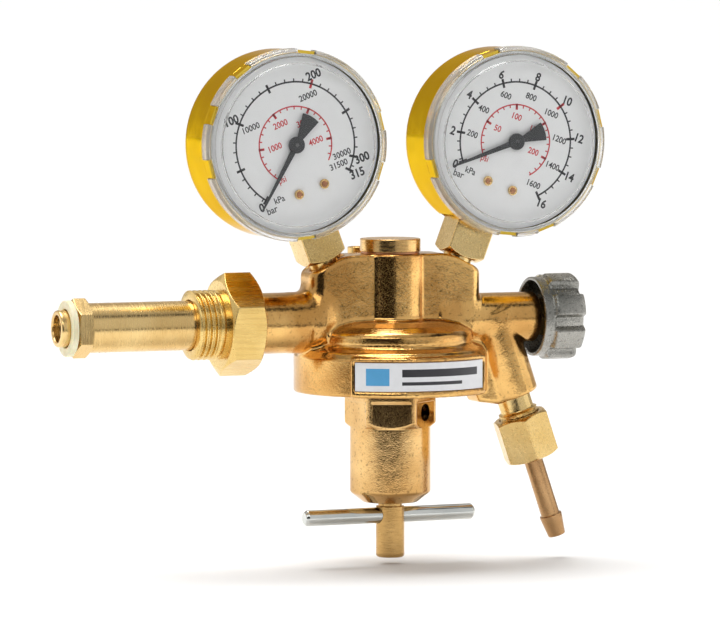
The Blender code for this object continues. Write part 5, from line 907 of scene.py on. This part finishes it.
# The window's front mirrors as clear plastic does, more the more it is seen from the side.
clear_front, clear_nodes, clear_links, clear_shader = new_material("clear_window_front", {
    "Base Color": (1, 1, 1, 1), "Metallic": 1.0, "Roughness": 0.04,
})
facing = clear_nodes.new("ShaderNodeLayerWeight")
facing.inputs["Blend"].default_value = 0.5
grazing = clear_nodes.new("ShaderNodeMath")
grazing.operation = "POWER"
grazing.inputs[1].default_value = 5
clear_links.new(facing.outputs["Facing"], grazing.inputs[0])
gloss = ranged(clear_nodes, clear_links, grazing.outputs[0], 0.02)
clear_links.new(gloss.outputs["Result"], clear_shader.inputs["Alpha"])
clear_place = clear_nodes.new("ShaderNodeTexCoord").outputs["Object"]
clear_wave = bumped(clear_nodes, clear_links, noise_node(clear_nodes, clear_links, clear_place, 40, 1), 0.03)
clear_links.new(clear_wave.outputs["Normal"], clear_shader.inputs["Normal"])
clear_rim = painted("clear_window_rim", (0.98, 0.98, 0.975), 0.06, 0.03)
set_sockets(clear_rim.node_tree.nodes["Principled BSDF"], {"IOR": 1.49, "Transmission Weight": 0.85})

DIALS = {
    -1: {
        "name": "high_gauge", "arc": 20.6, "full": 315, "minor": 10, "majors": [50, 100, 150, 250, 300, 315],
        "red": 200, "outer": [0, 100, 200, 300, 315], "inner": [100, 200, 300, 315],
        "red_arc": 12.6, "red_full": 4568, "red_minor": 200, "red_majors": [1000, 2000, 3000, 4000],
        "notches": [107, 63, 173, -7, -38, -105, 140],
    },
    1: {
        "name": "low_gauge", "arc": 19.7, "full": 16, "minor": 0.5, "majors": [2, 4, 6, 8, 12, 14, 16],
        "red": 10, "outer": range(0, 17, 2), "inner": range(2, 17, 2),
        "red_arc": 12.2, "red_full": 232, "red_minor": 10, "red_majors": [50, 100, 150, 200],
        "notches": [129, 70, 35, -2, -49, -75, -143],
    },
}


def join(name, pieces):
    """Join mesh objects into one, its faces outwards."""
    shape = bmesh.new()
    for piece in pieces:
        shape.from_mesh(piece.data)
        bpy.data.objects.remove(piece)
    mesh = bpy.data.meshes.new(name)
    bmesh.ops.recalc_face_normals(shape, faces=shape.faces)
    shape.to_mesh(mesh)
    shape.free()
    return add_object(name, mesh)


def flat_marks(name, side, quads, level, thickness=0.03):
    """Thin raised marks: quads [mark, corner, 2] in gauge millimetres, given a little height."""
    quads = np.asarray(quads, float)
    low = gauge_points(side, quads.reshape(-1, 2), level)
    high = gauge_points(side, quads.reshape(-1, 2), level + thickness)
    count = len(quads)
    base = np.arange(count * 4).reshape(count, 4)
    top = base + count * 4
    walls = [
        np.stack([base[:, i], base[:, (i + 1) % 4], top[:, (i + 1) % 4], top[:, i]], 1) for i in range(4)
    ]
    faces = np.concatenate([base[:, ::-1], top, *walls])
    mesh = bpy.data.meshes.new(name)
    mesh.from_pydata((np.concatenate([low, high]) * MM).tolist(), [], faces.tolist())
    return join(name, [add_object(name, mesh)])


def scale_angle(value, full):
    """Angle on the dial of a reading, in radians counter-clockwise from the right."""
    return np.radians(225 - 270 * np.asarray(value, float) / full)


def tick_quads(angles, inner, outer, width):
    """Radial bars between two radii at the given angles."""
    angles = np.atleast_1d(angles)
    spoke = np.stack([np.cos(angles), np.sin(angles)], 1)
    side = np.stack([-np.sin(angles), np.cos(angles)], 1) * width / 2
    near, far = spoke * inner, spoke * outer
    return np.stack([near - side, far - side, far + side, near + side], 1)


def arc_quads(start, end, radius, width, pieces=140):
    """Short quads that make up an arc line of the given width."""
    angles = np.linspace(start, end, pieces + 1)
    ring = np.stack([np.cos(angles), np.sin(angles)], 1)
    inner, outer = ring * (radius - width / 2), ring * (radius + width / 2)
    return np.stack([inner[:-1], outer[:-1], outer[1:], inner[1:]], 1)


def words(name, side, text, x, y, size, wide=1.0, bold=0.012):
    """Flat lettering as a mesh, centred on a point of the dial and upright in the gauge's frame."""
    curve = bpy.data.curves.new(name, "FONT")
    curve.body = text
    curve.size = size
    curve.align_x, curve.align_y = "CENTER", "CENTER"
    curve.extrude = 0.015
    curve.offset = bold * size
    curve.resolution_u = 3
    sketch = add_object(name, curve)
    mesh = bpy.data.meshes.new_from_object(sketch.evaluated_get(bpy.context.evaluated_depsgraph_get()))
    bpy.data.objects.remove(sketch)
    flat = mesh_points(mesh)
    points = gauge_points(side, np.stack([flat[:, 0] * wide + x, flat[:, 1] + y], 1), 0.0)
    points += (DIAL_LEVEL + 0.015 + flat[:, 2:3]) * FRONT
    mesh.vertices.foreach_set("co", (points * MM).ravel())
    return add_object(name, mesh)


def polar_words(name, side, text, angle, reach, *style):
    """Lettering centred at an angle and a distance from the dial's middle."""
    return words(name, side, text, reach * math.cos(angle), reach * math.sin(angle), *style)


def gauge_case(name, way):
    """The pressed steel case: a cup with a gilt lip, open below for the socket."""
    case = turned(
        name + "_steel_case",
        eased([
            (0, -7.0), (30.2, -7.0), (30.2, 10.2), (29.8, 10.2), (29.8, 15.3), (30.15, 15.3), (30.15, 11.0),
            (CASE_RADIUS, 11.0), (CASE_RADIUS, -7.8), (0, -7.8),
        ], [0, 2.2, 0, 0, 0.1, 0.1, 0.3, 0.5, 3.0, 0], 7),
        way, 200, ring=False,
    )
    opening_profile = [(0, -6.95), (9.6, -6.95), (9.6, 6.95), (0, 6.95)]
    opening = turned(name + "_opening", opening_profile, way, 4, ring=False)
    down = -np.cross(way[1], way[2])
    moved = mesh_points(opening.data) + down * 30 * MM
    opening.data.vertices.foreach_set("co", moved.ravel())
    cut_away(case, opening, 35)
    dress(case, "regulator", gilt, "gilt_steel", name + "_case")


def gauge_plate(name, way):
    """The white dial plate, and the steel seat of the window round it."""
    lathe(
        name + "_dial_plate",
        [(1.3, 13.7), (DIAL_RADIUS, 13.7), (DIAL_RADIUS, DIAL_LEVEL), (1.3, DIAL_LEVEL)],
        [0, 0, 0.15, 0], way, dial_white, "white_enamel", name + "_dial", samples=3, angles=160,
    )
    lathe(
        name + "_window_seat", [(29.2, 10.3), (29.75, 10.3), (29.75, 15.7), (29.2, 15.7)], 0.1, way,
        plated_steel, "bright_steel", samples=3, angles=160,
    )


def gauge_scales(name, side, dial):
    """The two printed scales: an arc each, small ticks outside or inside it, and wide main ticks."""
    full, red_full = dial["full"], dial["red_full"]
    arc, red_arc = dial["arc"], dial["red_arc"]
    steps = np.arange(dial["minor"], full + 1e-6, dial["minor"])
    black = [
        arc_quads(SCALE_START, scale_angle(full, full), arc, 0.55),
        tick_quads(scale_angle(steps, full), arc, arc + 1.1, 0.42),
        tick_quads(scale_angle(dial["majors"], full), arc - 1.5, arc + 1.5, 0.8),
        tick_quads(SCALE_START, arc - 1.5, arc + 1.5, 0.8),
    ]
    ticks = flat_marks(name + "_black_scale", side, np.concatenate(black), DIAL_LEVEL)
    dress(ticks, "regulator", dial_black, "black_enamel")
    small = np.arange(0, red_full + 1e-6, dial["red_minor"])
    red = [
        arc_quads(SCALE_START, scale_angle(full, full), red_arc, 0.45),
        tick_quads(scale_angle(small, red_full), red_arc - 1.0, red_arc, 0.4),
        tick_quads(scale_angle(dial["red_majors"], red_full), red_arc - 1.7, red_arc + 0.3, 0.8),
        tick_quads(scale_angle(dial["red"], full), arc - 1.5, arc + 1.5, 0.85),
    ]
    red_ticks = flat_marks(name + "_red_scale", side, np.concatenate(red), DIAL_LEVEL)
    dress(red_ticks, "regulator", dial_red, "black_enamel")


def gauge_figures(name, side, dial):
    """The scales' figures and units, upright as on the real dial."""
    full, red_full = dial["full"], dial["red_full"]
    arc, red_arc = dial["arc"], dial["red_arc"]
    black_words, red_words = [], []
    for value in dial["outer"]:
        text = str(value)
        angle = float(scale_angle(value, full)) if value else SCALE_START
        reach = arc + 2.8 + 0.12 * len(text) * abs(math.cos(angle))
        black_words.append(polar_words(f"{name}_outer_{text}", side, text, angle, reach, 3.9, 0.9, 0.03))
    for value in dial["inner"]:
        text = str(100 * value)
        angle = float(scale_angle(value, full))
        word = polar_words(f"{name}_inner_{text}", side, text, angle, arc - 4.1, 2.85, 0.92, 0.018)
        black_words.append(word)
    for value in dial["red_majors"]:
        text = str(value)
        angle = float(scale_angle(value, red_full))
        reach = red_arc - 3.6 - 0.45 * len(text) * abs(math.cos(angle))
        red_words.append(polar_words(f"{name}_red_{text}", side, text, angle, reach, 2.85, 0.9, 0.02))
    for text, x, y, size, group in (
        ("bar", -15.2, -16.9, 3.2, black_words), ("kPa", -11.6, -14.6, 3.0, black_words),
        ("psi", -8.3, -9.0, 2.8, red_words),
    ):
        group.append(words(f"{name}_{text}", side, text, x, y, size, 0.9))
    black_text = join(name + "_black_figures", black_words)
    dress(black_text, "regulator", dial_black, "black_enamel")
    red_text = join(name + "_red_figures", red_words)
    dress(red_text, "regulator", dial_red, "black_enamel")


def gauge_screws(name, side, way):
    """Two rivet-like brass screws with a copper middle, which hold the plate below the pointer."""
    for word, x in (("left", -SCREW_OFFSET), ("right", SCREW_OFFSET)):
        screw_way = (gauge_points(side, np.array([[x, -SCREW_DROP]]), 0.0)[0], way[1], way[2])
        lathe(
            f"{name}_screw_{word}", [
                (0, 11.7), (0.9, 11.7), (0.9, 14.3), (1.6, 14.3), (1.6, 15.0), (1.1, 15.0), (0.95, 14.7),
                (0, 14.7),
            ], [0, 0, 0, 0.1, 0.3, 0.2, 0.1, 0], screw_way, screw_brass, "turned_brass",
            f"{name}_dial_screw_{word}", samples=3, angles=32, ring=False,
        )
        lathe(
            f"{name}_screw_core_{word}", [(0, 14.6), (0.85, 14.6), (0.85, 14.85), (0, 14.95)],
            [0, 0, 0.15, 0], screw_way, screw_copper, "turned_brass", samples=3, angles=24, ring=False,
        )


def gauge_hand(name, side, way):
    """The flat pointer, drawn along the dial's right and turned to its rest at zero, and its hub."""
    fan = np.radians(np.linspace(17, -17, 9))
    outline = [(24.0, -0.28), (24.0, 0.28), (0.0, 1.0), (-2.4, 1.0)]
    outline += [(-10.6 * math.cos(t), 10.6 * math.sin(t)) for t in fan]
    outline += [(-2.4, -1.0), (0.0, -1.0)]
    cosine, sine = math.cos(HAND_REST), math.sin(HAND_REST)
    outline = np.array(outline) @ np.array([[cosine, sine], [-sine, cosine]])
    count = len(outline)
    low, high = gauge_points(side, outline, HAND_LOW), gauge_points(side, outline, HAND_HIGH)
    faces = [list(range(count)), [count + i for i in range(count)][::-1]]
    faces += [[i, (i + 1) % count, count + (i + 1) % count, count + i] for i in range(count)]
    mesh = bpy.data.meshes.new(name + "_hand")
    mesh.from_pydata((np.concatenate([low, high]) * MM).tolist(), [], faces)
    hand = add_object(name + "_hand", mesh)
    finish_mesh(hand)
    edge = hand.modifiers.new("edge", "BEVEL")
    edge.width, edge.segments = 0.08 * MM, 2
    dress(hand, name + "_hand", pointer_grey, "black_enamel", name + "_pointer")
    lathe(
        name + "_hand_hub", [(0, 14.9), (2.75, 14.9), (2.75, 15.9), (0, 15.9)], [0, 0.1, 0.35, 0], way,
        pointer_grey, "black_enamel", body_name=name + "_hand", angles=56, ring=False,
    )


def gauge_window(name, side, way, notches):
    """The clear window: a flat front, a step, and a rim whose notches show the case's gilt tabs."""
    front = turned(name + "_window_front", [
        (0, 16.4), (28.6, 16.4), (28.6, 17.0), (26.9, 17.0), (26.3, GAUGE_FRONT), (0, GAUGE_FRONT),
    ], way, 160, ring=False)
    dress(front, "regulator", clear_front, "clear_plastic", name + "_window")
    rim = turned(
        name + "_window_rim",
        eased([
            (28.65, 16.4), (28.65, 17.1), (29.7, 17.1), (WINDOW_RADIUS, 15.9), (WINDOW_RADIUS, 11.3),
            (30.3, 11.3), (30.3, 15.7), (29.8, 16.1),
        ], [0.1, 0.3, 0.4, 0.8, 0.3, 0.3, 0.3, 0.2], 5),
        way, 200,
    )
    lathe(
        name + "_window_step", [(26.35, 16.9), (26.35, 17.75), (26.95, 17.05), (26.95, 16.9)], 0.08, way,
        clear_rim, "clear_plastic", samples=3, angles=160,
    )
    tab_quads = tick_quads(np.radians(notches), 29.4, 30.9, TAB_WIDTH)
    tabs = flat_marks(name + "_case_tabs", side, tab_quads, 10.8, 4.7)
    dress(tabs, "regulator", gilt, "gilt_steel")
    for number, angle in enumerate(np.radians(notches)):
        radial = math.cos(angle) * way[2] + math.sin(angle) * np.cross(way[1], way[2])
        box_way = (way[0] + radial * 29.85 + way[1] * 14.2, radial, way[1])
        notch = turned(
            f"{name}_notch_{number}", [(0, 0), (5.5, 0), (5.5, 3), (0, 3)], box_way,
            np.radians([36, 144, 216, 324]), ring=False,
        )
        cut_away(rim, notch, 40)
    dress(rim, "regulator", clear_rim, "clear_plastic")


def gauge_socket(name, way):
    """The square brass socket, its neck turned round, which screws into the body."""
    socket_angles = flat_angles(4, math.pi / 4, SOCKET_FLATS, 0.5)
    square = flats(socket_angles, SOCKET_FLATS, 4, math.pi / 4, 0.5)
    socket_profile = np.array(level_rows(socket_angles, (
        (1.2, 24.5), (square, 24.5), (square, 41.1 - (square - SOCKET_FACE) * math.tan(math.radians(30))),
        (SOCKET_FACE, 41.1), (SOCKET_NECK, 41.1), (SOCKET_NECK, 52.0), (1.2, 52.0),
    )))
    lathe(
        name + "_square_socket", socket_profile, [0, 0, 0.15, 0.15, 0, 0.3, 0],
        (way[0], -np.cross(way[1], way[2]), way[2]), fitting_brass, "turned_brass", name + "_socket",
        samples=3, angles=socket_angles,
    )


for side, dial in DIALS.items():
    name, way = dial["name"], gauge_way(side)
    gauge_case(name, way)
    gauge_plate(name, way)
    gauge_scales(name, side, dial)
    gauge_figures(name, side, dial)
    gauge_screws(name, side, way)
    gauge_hand(name, side, way)
    gauge_window(name, side, way, dial["notches"])
    gauge_socket(name, way)

# Pieces inside: their CAD solids are right and hardly show, so they only get their finishes.
spring_wire = metal("oiled_spring_wire", (0.10, 0.10, 0.11), (0.2, 0.2, 0.2), (0.25, 0.4), 900, 0.01)
rubber = painted("moulded_rubber", (0.03, 0.03, 0.03), 0.7)
packing_white = painted("packing_white", (0.75, 0.75, 0.72), 0.5)
bronze = metal("sintered_bronze", (0.30, 0.16, 0.07), (0.45, 0.26, 0.12), (0.55, 0.75), 2500, 0.12)
for node, paint in {
    "inlet_filter": bronze, "filter_clip": plated_steel, "valve_seat": turned_brass, "poppet": turned_brass,
    "poppet_spring": spring_wire, "push_pin": plated_steel, "diaphragm": rubber,
    "diaphragm_plate": turned_brass, "slip_ring": plated_steel, "main_spring": spring_wire,
    "spring_button": plated_steel, "relief_disc": rubber, "relief_screw": turned_brass,
    "relief_spring": spring_wire, "valve_head": turned_brass, "gland_packing": packing_white,
    "hose_seal": rubber,
    **{
        dial["name"] + part: turned_brass
        for dial in DIALS.values() for part in ("_movement_frame", "_sector", "_link", "_bourdon_tube")
    },
    **{dial["name"] + "_pinion_arbor": spring_wire for dial in DIALS.values()},
}.items():
    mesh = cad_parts[node].data
    mesh.materials.clear()
    mesh.materials.append(paint)
